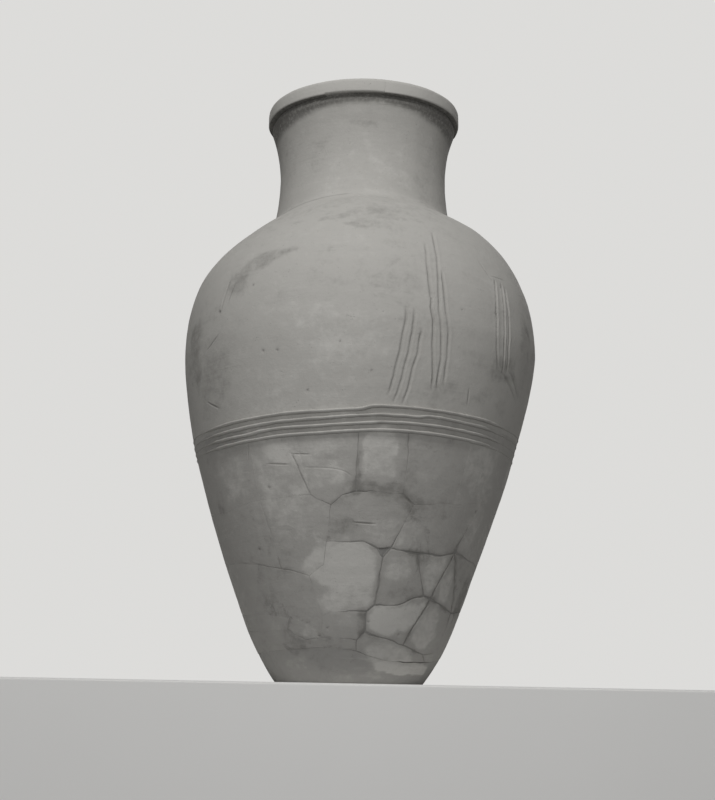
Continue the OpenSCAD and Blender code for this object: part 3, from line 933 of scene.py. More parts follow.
@dataclass
class SherdCutter:
    """Cuts one sherd out of the wall and works its skin, faces and edges."""

    outer_grid: float = 5.0
    back_grid: float = 7.0
    inner_grid: float = 15.0
    joint_half: float = 0.02
    gape_half: float = 1.2
    worn_width: float = 1.2
    worn_more: float = 2.8
    worn_depth: float = 0.04
    worn_deeper: float = 1.0
    step_up: float = 0.55
    worn_shares: tuple[float, ...] = (0.3, 0.65, 1.05)
    seen_within: float = 100
    neck_margin: float = 100
    edge_gap: float = 0.35
    shade_reach: float = 7

    def inside(self, points: Array, outline: Array, gap: float) -> Array:
        """The flat points that lie inside an outline and further than a gap from it."""
        clear = distance_to_outline(points, outline) > gap
        return points[clear & inside_outline(points, outline)]

    def grid(self, low: Array, high: Array, step: float, seed: int) -> Array:
        """Staggered flat points between two corners, each moved a little."""
        rows = np.arange(low[1], high[1], step * 0.87)
        columns = np.arange(low[0], high[0], step)
        u, v = np.meshgrid(columns, rows)
        u = u + np.where(np.arange(len(rows)) % 2 == 0, 0, step / 2)[:, None]
        points = np.column_stack([u.ravel(), v.ravel()])
        shift = np.random.default_rng(seed).uniform(-0.16, 0.16, points.shape)
        return points + shift * step

    def inset(self, outline: Array, by: Array) -> Array:
        """Moves each point of an anticlockwise outline inwards."""
        way = np.roll(outline, -1, axis=0) - outline
        way /= np.maximum(np.hypot(*way.T), 1e-9)[:, None]
        before = np.roll(way, 1, axis=0)
        inward = np.column_stack([-(way + before)[:, 1], (way + before)[:, 0]])
        size = np.maximum(np.hypot(*inward.T), 0.8)
        return outline + inward / size[:, None] * (2 / size * by)[:, None]

    def cut(self, name: str, corners: Row, seed: int, tone: float, set_in: float = 0.0,
            smooth: bool = False) -> Thing:
        """Makes one sherd.

        Args:
            name: The piece's name.
            corners: The sherd's corners as (azimuth, height), anticlockwise from outside.
            seed: Number for the sherd's own small differences.
            tone: The sherd's own tone, -1 to 1.
            set_in: How far the whole skin lies below the jar's surface.
            smooth: Whether its breaks are filled so well that they hardly show.

        Returns:
            The sherd as a closed mesh object.
        """
        line = BREAKS.jagged(corners)
        sheet = Sheet(*((line.max(0) + line.min(0)) / 2))
        gape = BREAKS.gape(line) * (0.0 if smooth else 1.0)
        outline = self.inset(sheet.flat(line), self.joint_half + self.gape_half * gape)
        strokes = SURFACE.near(line)
        worn = None if smooth else self.worn_width + self.worn_more * gape
        points = self.skin_points(outline, line, sheet, strokes, worn, seed)
        loop = [(i, (i + 1) % len(outline)) for i in range(len(outline))]
        flat, faces, _ = fill(outline, loop, points, outline)

        places = sheet.round(flat)
        depth, stain = SURFACE.skin(places, flat, sheet, strokes)
        shade, solid = 0.0, WALL.solid(places)
        if not smooth:
            here, away = BREAKS.gape(places), distance_to_outline(flat, outline)
            ragged = 1 + 0.45 * soft_noise(solid, 7, 71 + seed)
            width = (self.worn_width + self.worn_more * here) * ragged
            fallen = np.clip(1 - away / width, 0, 1) ** 2
            depth += (self.worn_depth + self.worn_deeper * here) * fallen * ragged
            draw = np.random.default_rng(seed + 500).uniform(-1, 1, 3)
            tilt = draw[0] + (flat - flat.mean(0)) @ draw[1:] / 60
            depth += self.step_up * np.clip(tilt, -1.6, 1.6) * here
            stain = np.maximum(stain, np.clip(fallen * 0.8 * here, 0, 1))
            shade = 0.7 * here * np.exp(-((away / self.shade_reach) ** 2))
        tones = np.clip(SURFACE.tone(places, solid) + tone - shade, -1, 1)
        skin = Skin()
        skin.add(WALL.place(*places.T, depth + set_in), tones, stain, 0.0)
        skin.faces += faces
        self.add_back(skin, sheet, flat, outline, outer_edges(faces), seed, tone)
        return skin.make(name)

    def skin_points(self, outline: Array, line: Array, sheet: Sheet,
                    strokes: list[Stroke], worn: Array | None, seed: int) -> Array:
        """The flat points that carry a sherd's skin, denser along marks and worn edges.

        Args:
            outline: The sherd's outline laid flat.
            line: The break round it as rows of [azimuth, height].
            sheet: The patch of wall that the sherd lies on.
            strokes: The strokes that can reach it.
            worn: Width of the worn edge along the outline, or None for filled breaks.
            seed: Number for the sherd's own small differences.

        Returns:
            Flat points inside the outline.
        """
        step = self.outer_grid if abs(swing(sheet.az, 0)) < self.seen_within else self.back_grid
        points = self.grid(outline.min(0), outline.max(0), step, seed)
        points = self.inside(points, outline, step * (0.5 if worn is None else 0.9))
        for stroke in strokes:
            near = distance_to_lines(points, *stroke.rows(sheet))
            points = points[near > stroke.half_width * 2.5 + 1.5]
        extra = [stroke.guides(sheet) for stroke in strokes]
        extra += [self.pit_guides(pit, sheet) for pit in SURFACE.pits]
        if (line[:, 1].max() + line[:, 1].min()) / 2 > WALL.root_z - self.neck_margin:
            extra.append(self.ring_guides(sheet, line))
        for share in () if worn is None else self.worn_shares:
            ring = self.inset(outline, worn * share)
            extra.append(ring[distance_to_outline(ring, outline) > worn * share * 0.9])
        return np.vstack([points, self.inside(np.vstack(extra), outline, self.edge_gap)])

    def add_back(self, skin: Skin, sheet: Sheet, flat: Array, outline: Array,
                 border: list[tuple[int, int]], seed: int, tone: float) -> None:
        """Adds the sherd's inner face and the break faces that join it to the skin.

        Args:
            skin: The mesh in the making, which holds the outer face and nothing else.
            sheet: The patch of wall that the sherd lies on.
            flat: The outer face's points laid flat.
            outline: The sherd's outline laid flat.
            border: The outer face's edges along the outline.
            seed: Number for the sherd's own small differences.
            tone: The sherd's own tone.
        """
        used = sorted({i for edge in border for i in edge})
        number = {v: i for i, v in enumerate(used)}
        inner = self.grid(outline.min(0), outline.max(0), self.inner_grid, seed + 900)
        inner = self.inside(inner, outline, self.inner_grid * 0.4)
        pairs = [(number[p], number[q]) for p, q in border]
        back_flat, back_faces, where = fill(flat[used], pairs, inner, outline)
        back = sheet.round(back_flat)
        solid = around(np.radians(back[:, 0]), NOISE_R, back[:, 1])
        depth = WALL.thickness + layered(solid, (0.8, 40, 81), (0.5, 16, 82))
        start = skin.add(WALL.place(*back.T, depth), tone, 0.2, 1.0)
        skin.faces += [tuple(start + i for i in reversed(f)) for f in back_faces]
        for (p, q), (low_p, low_q) in zip(border, pairs):
            skin.faces.append((p, start + where[low_p], start + where[low_q], q))

    def pit_guides(self, pit: Pit, sheet: Sheet) -> Array:
        """Flat points in and round a pit."""
        az, z = WALL.upright(pit.az, pit.z)
        centre = sheet.flat(np.array([[sheet.az + swing(az, sheet.az), z]]))
        turn = np.radians(np.arange(0, 360, 45))
        ring = np.column_stack([np.cos(turn), np.sin(turn)]) * pit.radius
        return np.vstack([centre, centre + ring * 0.55, centre + ring * 1.15])

    def ring_guides(self, sheet: Sheet, line: Array) -> Array:
        """Flat points along the step at the foot of the neck."""
        azimuths = np.arange(line[:, 0].min(), line[:, 0].max(), 1.2)
        foot = WALL.neck_foot_z
        heights = (WALL.root_z + 1.5, foot - 2.5, foot - 0.8, foot + 0.8, foot + 2.5)
        rows = [np.column_stack([azimuths, np.full(len(azimuths), z)]) for z in heights]
        return sheet.flat(np.vstack(rows))


def ride_for(piece: Thing, slot: str, *nodes: str) -> None:
    """Fastens a piece to the jar and hides the imported nodes that it stands for."""
    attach(piece, "root")
    if nodes:
        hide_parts(*nodes)


# Shader nodes


class NodeTable:
    """Lays nodes in a tree, feeds them and joins them."""

    def __init__(self, tree: bpy.types.NodeTree) -> None:
        """Takes the tree to work in."""
        self.tree = tree

    def add(self, kind: str, feeds: dict | None = None, **settings: object) -> bpy.types.Node:
        """Adds a node.

        Args:
            kind: Blender's name of the node type.
            feeds: What goes into its inputs: a socket or a plain value, by name or place.
            settings: Its other settings.

        Returns:
            The node.
        """
        node = self.tree.nodes.new(kind)
        for key, value in settings.items():
            setattr(node, key, value)
        for key, value in (feeds or {}).items():
            if isinstance(value, Socket):
                self.join(value, node.inputs[key])
            else:
                node.inputs[key].default_value = value
        return node

    def join(self, socket: Socket, target: Socket) -> None:
        """Leads an output to an input."""
        self.tree.links.new(socket, target)

    def maths(self, operation: str, *values: object, clamp: bool = False) -> Socket:
        """The result of a sum on sockets or numbers."""
        feeds = dict(enumerate(values))
        node = self.add("ShaderNodeMath", feeds, operation=operation, use_clamp=clamp)
        return node.outputs[0]

    def noise(self, place: Socket, scale: float, detail: float = 3.0,
              roughness: float = 0.55, twist: float = 0.0) -> Socket:
        """Noise from 0 to 1 at a place. Scale is in turns to the metre."""
        feeds = {"Vector": place, "Scale": scale, "Detail": detail, "Roughness": roughness,
                 "Distortion": twist}
        return self.add("ShaderNodeTexNoise", feeds).outputs[0]

    def stretch(self, place: Socket, scale: tuple[float, float, float],
                shift: tuple[float, float, float] = (0, 0, 0)) -> Socket:
        """The place, moved and scaled by a Mapping node."""
        return self.add("ShaderNodeMapping", {"Vector": place, "Location": shift,
                                              "Scale": scale}).outputs[0]

    def between(self, value: Socket, low: float, high: float,
                to_low: float = 0.0, to_high: float = 1.0) -> Socket:
        """Maps a value smoothly from low..high onto to_low..to_high."""
        feeds = {"Value": value, "From Min": low, "From Max": high, "To Min": to_low,
                 "To Max": to_high}
        node = self.add("ShaderNodeMapRange", feeds, interpolation_type="SMOOTHSTEP")
        return node.outputs["Result"]

    def blend(self, share: object, first: object, second: object) -> Socket:
        """A mix of two colours."""
        feeds = {0: share, 6: first, 7: second}
        return self.add("ShaderNodeMix", feeds, data_type="RGBA").outputs[2]


def new_group(name: str, inputs: dict[str, float | None], outputs: list[str]
              ) -> tuple[NodeTable, bpy.types.NodeOutputs, bpy.types.NodeInputs]:
    """Starts a shader node group.

    Args:
        name: The group's name.
        inputs: Its inputs with their usual values, or None for a vector.
        outputs: The names of its outputs.

    Returns:
        The table to work on, the sockets that feed the group, and those it fills.
    """
    tree = bpy.data.node_groups.new(name, "ShaderNodeTree")
    for label, value in inputs.items():
        kind = "NodeSocketVector" if value is None else "NodeSocketFloat"
        socket = tree.interface.new_socket(name=label, in_out="INPUT", socket_type=kind)
        if value is not None:
            socket.default_value = value
    for label in outputs:
        tree.interface.new_socket(name=label, in_out="OUTPUT", socket_type="NodeSocketFloat")
    table = NodeTable(tree)
    return table, table.add("NodeGroupInput").outputs, table.add("NodeGroupOutput").inputs


@dataclass
class Effects:
    """The effects that the finishes share, each a node group made once."""

    made: dict[str, bpy.types.NodeTree] = field(default_factory=dict)

    def build(self) -> "Effects":
        """Makes the groups and returns them."""
        self.made = {"mottle": self.make_mottle(), "grit": self.make_grit(),
                     "wheel": self.make_wheel()}
        return self

    def make_mottle(self) -> bpy.types.NodeTree:
        """Clouds of lighter and darker clay, with soft blots and small flecks."""
        table, given, out = new_group(
            "Clay mottle", {"Place": None, "Size": 1.0, "Blots": 0.5, "Flecks": 0.5},
            ["Tone", "Blot"])
        feeds = {0: given["Place"], "Scale": given["Size"]}
        spot = table.add("ShaderNodeVectorMath", feeds, operation="SCALE").outputs[0]
        broad = table.noise(spot, 7.0, 4.0, 0.6, 0.3)
        middle = table.noise(table.stretch(spot, (1, 1, 1.6), (3, 1, 7)), 24.0, 4.0, 0.62, 0.4)
        small = table.noise(table.stretch(spot, (1, 1, 1), (9, 4, 2)), 95.0, 3.0, 0.6)
        total = table.maths("ADD", table.maths("MULTIPLY", broad, 0.9),
                            table.maths("MULTIPLY", middle, 0.75))
        flecks = table.maths("MULTIPLY", small, given["Flecks"])
        total = table.maths("ADD", total, flecks)
        half = table.maths("MULTIPLY", given["Flecks"], 0.5)
        centred = table.maths("SUBTRACT", table.maths("SUBTRACT", total, 0.825), half)
        blot = table.noise(table.stretch(spot, (1, 1, 1.25), (5, 8, 3)), 13.0, 5.0, 0.66, 0.9)
        blot = table.maths("MULTIPLY", table.between(blot, 0.57, 0.66), given["Blots"])
        table.join(centred, out["Tone"])
        table.join(blot, out["Blot"])
        return table.tree

    def make_grit(self) -> bpy.types.NodeTree:
        """Grains in the fabric: a height for bumps and a mask of dark specks."""
        table, given, out = new_group(
            "Clay grit", {"Place": None, "Coarse": 0.5, "Fine": 0.5}, ["Height", "Specks"])
        spot = given["Place"]
        cells = table.add("ShaderNodeTexVoronoi", {"Vector": spot, "Scale": 260.0,
                                                   "Randomness": 1.0})
        wobble = table.noise(spot, 55.0, 3.0, 0.6)
        near = table.between(cells.outputs["Distance"], 0.1, 0.28, 1.0, 0.0)
        rare = table.between(wobble, 0.56, 0.68)
        specks = table.maths("MULTIPLY", near, rare)
        fine = table.noise(spot, 700.0, 4.0, 0.7)
        coarse = table.noise(table.stretch(spot, (1, 1, 1), (2, 6, 1)), 150.0, 4.0, 0.6)
        height = table.maths("ADD", table.maths("MULTIPLY", coarse, given["Coarse"]),
                             table.maths("MULTIPLY", fine, given["Fine"]))
        height = table.maths("SUBTRACT", height, table.maths("MULTIPLY", specks, 0.35))
        table.join(height, out["Height"])
        table.join(specks, out["Specks"])
        return table.tree

    def make_wheel(self) -> bpy.types.NodeTree:
        """Fine level lines left by wet hands and a turning stand."""
        table, given, out = new_group("Turning lines", {"Place": None, "Strength": 0.5},
                                      ["Height", "Streak"])
        spot = given["Place"]
        lines = table.noise(table.stretch(spot, (1.2, 1.2, 46)), 5.0, 4.0, 0.6, 0.15)
        breaks = table.noise(spot, 9.0, 2.0, 0.5)
        patchy = table.between(breaks, 0.38, 0.62)
        streak = table.maths("MULTIPLY", table.maths("SUBTRACT", lines, 0.5), patchy)
        streak = table.maths("MULTIPLY", streak, given["Strength"])
        table.join(streak, out["Height"])
        table.join(streak, out["Streak"])
        return table.tree


@dataclass(frozen=True)
class ClayFinish:
    """Fired clay: its colours from dark to pale, and how strongly each effect shows."""

    name: str
    dark: tuple[float, float, float] = (0.27, 0.262, 0.245)
    middle: tuple[float, float, float] = (0.385, 0.375, 0.352)
    pale: tuple[float, float, float] = (0.5, 0.489, 0.462)
    dirt: tuple[float, float, float] = (0.16, 0.153, 0.14)
    core: tuple[float, float, float] = (0.3, 0.27, 0.23)
    size: float = 1.0
    mottle: float = 0.5
    blots: float = 0.35
    flecks: float = 0.5
    painted: float = 0.5
    streaks: float = 0.6
    coarse: float = 0.8
    fine: float = 0.35
    bump: float = 0.55
    bump_height: float = 0.0012
    roughness: float = 0.86
    roughness_span: float = 0.12
    shine: float = 0.28

    def build(self, effects: Effects) -> bpy.types.Material:
        """Makes the material.

        Args:
            effects: The shared node groups.

        Returns:
            The material, ready to assign.
        """
        material = bpy.data.materials.new(self.name)
        material.use_nodes = True
        table = NodeTable(material.node_tree)
        shader = material.node_tree.nodes["Principled BSDF"]
        spot = table.add("ShaderNodeTexCoord").outputs["Object"]
        tone, stain, core = (
            table.add("ShaderNodeAttribute", attribute_name=label).outputs["Fac"]
            for label in ("tone", "stain", "core"))
        feeds = {
            "mottle": {"Size": self.size, "Blots": self.blots, "Flecks": self.flecks},
            "grit": {"Coarse": self.coarse, "Fine": self.fine},
            "wheel": {"Strength": self.streaks},
        }
        mottle, grit, wheel = (
            table.add("ShaderNodeGroup", {"Place": spot, **values},
                      node_tree=effects.made[label]).outputs
            for label, values in feeds.items())

        level = table.maths("MULTIPLY_ADD", tone, self.painted * 0.5, 0.5)
        level = table.maths("ADD", level, table.maths("MULTIPLY", mottle["Tone"], self.mottle))
        level = table.maths("ADD", level, table.maths("MULTIPLY", wheel["Streak"], 0.5))
        blot = table.maths("MULTIPLY", mottle["Blot"], 0.3)
        level = table.maths("SUBTRACT", level, blot, clamp=True)
        low = table.between(level, 0.0, 0.5)
        high = table.between(level, 0.5, 1.0)
        colour = table.blend(low, (*self.dark, 1), (*self.middle, 1))
        colour = table.blend(high, colour, (*self.pale, 1))
        colour = table.blend(core, colour, (*self.core, 1))
        specks = table.maths("MULTIPLY", grit["Specks"], 0.45)
        colour = table.blend(specks, colour, (*self.dirt, 1))
        # The stain darkens the colour towards the dirt colour: real stains, and painted shade under
        # the lip and at the foot of each rib
        edge = table.between(table.noise(spot, 160.0, 3.0, 0.65), 0.25, 0.6, 0.55, 1.0)
        soiled_and_shaded = table.maths("MULTIPLY", stain, edge, clamp=True)
        colour = table.blend(table.maths("MULTIPLY", soiled_and_shaded, 0.8), colour, (*self.dirt, 1))
        table.join(colour, shader.inputs["Base Color"])

        rough = table.maths("MULTIPLY_ADD", mottle["Tone"], self.roughness_span, self.roughness)
        table.join(rough, shader.inputs["Roughness"])
        shader.inputs["Specular IOR Level"].default_value = self.shine
        lines = table.maths("MULTIPLY", wheel["Height"], 1.2)
        height = table.maths("ADD", grit["Height"], lines)
        height = table.maths("ADD", height, table.maths("MULTIPLY", mottle["Blot"], 0.25))
        feeds = {"Height": height, "Strength": self.bump, "Distance": self.bump_height}
        bump = table.add("ShaderNodeBump", feeds)
        table.join(bump.outputs["Normal"], shader.inputs["Normal"])
        return material


class Finish(Enum):
    """The finishes on the jar."""

    LOWER = ClayFinish(
        "Mended lower clay", dark=(0.21, 0.204, 0.19), middle=(0.36, 0.35, 0.33),
        pale=(0.52, 0.509, 0.48), mottle=0.75, blots=0.6, painted=1.0, streaks=0.3)
    # Its very dark dirt colour also paints the shadow under the lip
    UPPER = ClayFinish(
        "Slipped upper clay", dark=(0.25, 0.243, 0.227), middle=(0.41, 0.4, 0.376),
        pale=(0.54, 0.529, 0.5), dirt=(0.075, 0.072, 0.066), mottle=0.7, blots=0.25,
        painted=1.1, streaks=0.4)
    # Its very dark dirt colour also paints the shadow under the lip
    RIM = ClayFinish(
        "Lip clay", dark=(0.31, 0.302, 0.28), middle=(0.43, 0.42, 0.395),
        pale=(0.52, 0.508, 0.48), dirt=(0.075, 0.072, 0.066), mottle=0.5, blots=0.25,
        painted=0.9, streaks=0.6)
    RIB = ClayFinish("Rib clay", mottle=0.6, blots=0.35, painted=0.6, streaks=0.4)
    PLASTER = ClayFinish(
        "Foot plaster", dark=(0.2, 0.195, 0.184), middle=(0.335, 0.327, 0.31),
        pale=(0.52, 0.509, 0.48), core=(0.25, 0.245, 0.232), mottle=0.7, blots=0.4,
        painted=1.0, coarse=0.5, fine=0.25, streaks=1.0)
    JOINT = ClayFinish(
        "Joint plaster", dark=(0.17, 0.167, 0.158), middle=(0.235, 0.23, 0.218),
        pale=(0.31, 0.304, 0.288), mottle=0.8, blots=0.3, coarse=0.6, size=1.6)


@dataclass
class Wardrobe:
    """Makes each finish once and dresses pieces in it."""

    effects: Effects
    made: dict[Finish, bpy.types.Material] = field(default_factory=dict)

    def material(self, finish: Finish) -> bpy.types.Material:
        """The material of a finish."""
        if finish not in self.made:
            self.made[finish] = finish.value.build(self.effects)
        return self.made[finish]

    def dress(self, piece: Thing, finish: Finish) -> None:
        """Gives a piece one finish all over."""
        piece.data.materials.clear()
        piece.data.materials.append(self.material(finish))


# Geometry nodes


class StripTree:
    """A node tree that turns a line of points into a strip of clay or plaster.

    The line's "fullness" attribute scales the strip along its way. The section is a half
    round on a flat seat, or a full round where the seat is as deep as the strip is high.
    """

    inputs = (
        ("Width", "NodeSocketFloat", 0.011),
        ("Height", "NodeSocketFloat", 0.006),
        ("Seat", "NodeSocketFloat", 0.001),
        ("Lean", "NodeSocketFloat", 0.0),
        ("Roughness", "NodeSocketFloat", 0.0005),
        ("Grain", "NodeSocketFloat", 90.0),
        ("Sides", "NodeSocketInt", 16),
        ("Seed", "NodeSocketInt", 4),
        ("Material", "NodeSocketMaterial", None),
    )

    def __init__(self) -> None:
        """Builds the tree."""
        tree = bpy.data.node_groups.new("Pressed strip", "GeometryNodeTree")
        self.tree = tree
        face = tree.interface
        face.new_socket(name="Line", in_out="INPUT", socket_type="NodeSocketGeometry")
        self.ids: dict[str, str] = {}
        for label, kind, value in self.inputs:
            socket = face.new_socket(name=label, in_out="INPUT", socket_type=kind)
            if value is not None:
                socket.default_value = value
            self.ids[label] = socket.identifier
        face.new_socket(name="Strip", in_out="OUTPUT", socket_type="NodeSocketGeometry")
        table = NodeTable(tree)
        given = table.add("NodeGroupInput").outputs
        section = self.section(table, given)
        line = table.add("GeometryNodeMeshToCurve", {"Mesh": given["Line"]})
        upright = table.add("GeometryNodeSetCurveNormal", {"Curve": line.outputs[0]})
        upright.mode = "Z_UP"
        full = table.add("GeometryNodeInputNamedAttribute", {"Name": "fullness"},
                         data_type="FLOAT")
        sized = table.add("GeometryNodeSetCurveRadius",
                          {"Curve": upright.outputs[0], "Radius": full.outputs["Attribute"]})
        sweep = table.add("GeometryNodeCurveToMesh", {
            "Curve": sized.outputs[0], "Profile Curve": section, "Fill Caps": True})
        if "Scale" in sweep.inputs:
            table.join(full.outputs["Attribute"], sweep.inputs["Scale"])
        spot = table.add("GeometryNodeInputPosition").outputs[0]
        feeds = {"Vector": spot, "W": given["Seed"], "Scale": given["Grain"],
                 "Detail": 3.0}
        rough = table.add("ShaderNodeTexNoise", feeds, noise_dimensions="4D")
        centred = table.maths("SUBTRACT", rough.outputs[0], 0.5)
        span = table.maths("MULTIPLY", given["Roughness"], 2.0)
        feeds = {0: table.add("GeometryNodeInputNormal").outputs[0],
                 "Scale": table.maths("MULTIPLY", centred, span)}
        move = table.add("ShaderNodeVectorMath", feeds, operation="SCALE")
        moved = table.add("GeometryNodeSetPosition",
                          {"Geometry": sweep.outputs[0], "Offset": move.outputs[0]})
        real = table.add("GeometryNodeRealizeInstances", {0: moved.outputs[0]})
        dressed = table.add("GeometryNodeSetMaterial", {
            "Geometry": real.outputs[0], "Material": given["Material"]})
        table.join(dressed.outputs[0], table.add("NodeGroupOutput").inputs[0])

    def section(self, table: NodeTable, given: bpy.types.NodeOutputs) -> Socket:
        """The strip's section: width along X, and height along Y above the seat."""
        ring = table.add("GeometryNodeCurvePrimitiveCircle", {
            "Radius": 1.0, "Resolution": given["Sides"]})
        spot = table.add("GeometryNodeInputPosition").outputs[0]
        parts = table.add("ShaderNodeSeparateXYZ", {0: spot})
        x = table.maths("MULTIPLY", parts.outputs[0], given["Width"])
        x = table.maths("MULTIPLY", x, 0.5)
        above = table.maths("MULTIPLY", table.maths("MAXIMUM", parts.outputs[1], 0.0),
                            given["Height"])
        below = table.maths("MULTIPLY", table.maths("MINIMUM", parts.outputs[1], 0.0),
                            given["Seat"])
        whole = table.add("ShaderNodeCombineXYZ", {0: x, 1: table.maths("ADD", above, below)})
        shaped = table.add("GeometryNodeSetPosition",
                           {"Geometry": ring.outputs[0], "Position": whole.outputs[0]})
        turn = table.add("ShaderNodeCombineXYZ", {2: given["Lean"]})
        leant = table.add("GeometryNodeTransform", {"Geometry": shaped.outputs[0],
                                                    "Rotation": turn.outputs[0]})
        return leant.outputs[0]

    def strip(self, name: str, points: Array, edges: list[tuple[int, int]],
              fullness: Array, values: dict[str, object]) -> Thing:
        """Makes a strip along lines.

        Args:
            name: The piece's name.
            points: The lines' points in millimetres.
            edges: Which points are joined.
            fullness: The strip's scale at each point.
            values: Values for the tree's inputs, by name.

        Returns:
            The strip as a plain mesh object.
        """
        guide = bpy.data.meshes.new(f"{name}_line")
        guide.from_pydata(points * METRES, edges, [])
        layer = guide.attributes.new("fullness", "FLOAT", "POINT")
        layer.data.foreach_set("value", np.asarray(fullness, np.float32))
        holder = placed(f"{name}_line", guide)
        modifier = holder.modifiers.new("Strip", "NODES")
        modifier.node_group = self.tree
        for label, value in values.items():
            modifier[self.ids[label]] = value
        view = bpy.context.evaluated_depsgraph_get()
        mesh = bpy.data.meshes.new_from_object(holder.evaluated_get(view), depsgraph=view)
        mesh.name = name
        holder.modifiers.remove(modifier)
        bpy.data.objects.remove(holder)
        bpy.data.meshes.remove(guide)
        work = bmesh.new()
        work.from_mesh(mesh)
        bmesh.ops.remove_doubles(work, verts=work.verts, dist=1e-6)
        bmesh.ops.recalc_face_normals(work, faces=work.faces)
        work.to_mesh(mesh)
        work.free()
        mesh.shade_smooth()
        mesh.set_sharp_from_angle(angle=math.radians(60))
        return placed(name, mesh)


def paint(piece: Thing, tone: Array, stain: Array | float = 0.0) -> None:
    """Paints tone and stain values on a finished mesh."""
    n, layers = len(piece.data.vertices), piece.data.attributes
    for label, value in (("tone", tone), ("stain", stain), ("core", 0.0)):
        layer = layers.get(label) or layers.new(label, "FLOAT", "POINT")
        values = np.broadcast_to(np.asarray(value, np.float32), (n,))
        layer.data.foreach_set("value", np.ascontiguousarray(values))


def mesh_places(piece: Thing) -> tuple[Array, Array]:
    """Each vertex as [azimuth, height], and as a point in millimetres."""
    co = np.empty(len(piece.data.vertices) * 3, np.float32)
    piece.data.vertices.foreach_get("co", co)
    solid = co.reshape(-1, 3).astype(float) / METRES
    az = np.degrees(np.arctan2(solid[:, 0], -solid[:, 1]))
    return np.column_stack([az, solid[:, 2]]), solid


# The jar's sub-assemblies


@dataclass
class PlasterFoot:
    """The restored foot: floor, toe and wall up to the lowest sherds."""

    wardrobe: Wardrobe
    bevel: float = 4.0
    rows_up: int = 14
    rows_across: int = 4
    rows_down: int = 9
    floor_rings: int = 7
    seam_gap: float = 0.02
    gape_down: float = 1.6
    gape_in: float = 1.4
    corner_r: float = 12

    def build(self) -> Thing:
        """Builds the foot's mesh from the profile at each azimuth."""
        ring = [BREAKS.corner(0, i) for i in range(len(BREAKS.rings[0]) + 1)]
        top = BREAKS.jagged(ring, closed=False)[:-1]
        az, top_z = top.T
        gape = BREAKS.gape(top)
        edge_z = top_z - self.seam_gap - self.gape_down * gape
        skin, rows = Skin(), []

        def level_ring(r: float, z: float, tone: float, core: float) -> None:
            """Adds a ring of points at one radius and height."""
            ring = WALL.stand(around(np.radians(az), r, z))
            rows.append(skin.add(ring, tone, 0.2, core))

        for share in (0.3, 0.62, 0.9):
            level_ring(share * (WALL.foot_r - self.bevel), 0.0, -0.2, 1.0)
        level_ring(WALL.foot_r - self.bevel, 0.0, -0.2, 0.0)
        level_ring(WALL.foot_r - self.bevel * 0.3, self.bevel * 0.28, -0.2, 0.0)
        for i in range(self.rows_up + 1):
            t = i / self.rows_up
            z = self.bevel + (edge_z - self.bevel) * t
            places = np.column_stack([az, z])
            solid = WALL.solid(places)
            late = smooth_step(0.8, 1.0, t)
            depth = layered(solid, (0.5, 30, 91), (0.35, 12, 92))
            depth *= smooth_step(0, 0.15, t) * (1 - smooth_step(0.75, 1.0, t))
            depth += self.gape_in * gape * late
            tone, stain = SURFACE.tone(places, solid), 0.6 * gape * late
            rows.append(skin.add(WALL.place(az, z, depth), tone, stain, 0.0))
        for i in range(1, self.rows_across + 1):
            depth = 0.8 + (WALL.thickness - 0.8) * i / self.rows_across
            rows.append(skin.add(WALL.place(az, edge_z, depth), -0.1, 0.3, 1.0))
        low = WALL.floor_t + self.corner_r
        for i in range(1, self.rows_down + 1):
            z = top_z + (low - top_z) * i / self.rows_down
            rows.append(skin.add(WALL.place(az, z, WALL.thickness), 0.0, 0.2, 1.0))
        inner = float(WALL.outer_r(low)) - WALL.thickness - self.corner_r / 2
        for i in range(self.floor_rings):
            share = 1 - i / self.floor_rings
            level_ring(inner * share, WALL.floor_t + (3.0 if i == 0 else 0.0), 0.0, 1.0)
        n = len(az)
        for p, q in zip(rows, rows[1:]):
            skin.faces += [(p + i, p + (i + 1) % n, q + (i + 1) % n, q + i) for i in range(n)]
        under = skin.add(np.array([[0.0, 0.0, 0.0]]), -0.2, 0.2, 1.0)
        over = skin.add(np.array([[0.0, 0.0, WALL.floor_t]]), 0.0, 0.2, 1.0)
        skin.faces += [(under, rows[0] + (i + 1) % n, rows[0] + i) for i in range(n)]
        skin.faces += [(over, rows[-1] + i, rows[-1] + (i + 1) % n) for i in range(n)]
        piece = skin.make("foot_plaster")
        self.wardrobe.dress(piece, Finish.PLASTER)
        ride_for(piece, "plaster", "foot")
        return piece


@dataclass
class SherdCourses:
    """Some courses of sherds, each cut to its outline on the map of breaks."""

    wardrobe: Wardrobe
    courses: tuple[Course, ...]
    finish: Finish
    slot: str
    smooth: bool
    tone_span: float
    own_tones: dict[str, float] = field(default_factory=dict)
    cutter: SherdCutter = field(default_factory=SherdCutter)

    def build(self) -> list[Thing]:
        """Cuts and dresses every sherd of the courses."""
        pieces = []
        for course in self.courses:
            for k in range(len(BREAKS.seams[course.value])):
                node = f"{course.node_name}_{k + 1}"
                seed = 100 * course.value + k
                tone = np.random.default_rng(seed).uniform(-1, 1) * self.tone_span
                tone = self.own_tones.get(node, tone)
                corners = BREAKS.corners(course, k)
                piece = self.cutter.cut(f"{node}_clay", corners, seed, tone, smooth=self.smooth)
                self.wardrobe.dress(piece, self.finish)
                ride_for(piece, self.slot, node)
                pieces.append(piece)
        return pieces


@dataclass
class NotchFill:
    """The wedge of plaster in the notch where three sherds meet."""

    wardrobe: Wardrobe
    set_in: float = 1.7
    cutter: SherdCutter = field(default_factory=SherdCutter)

    def build(self) -> Thing:
        """Cuts and dresses the wedge."""
        ring, i = BREAKS.notch
        corners = [BREAKS.corner(ring, j) for j in (i - 1, i, i + 1)]
        piece = self.cutter.cut("notch_plaster", corners, 77, -0.3, self.set_in, True)
        self.wardrobe.dress(piece, Finish.JOINT)
        ride_for(piece, "plaster", "plaster_fill")
        return piece


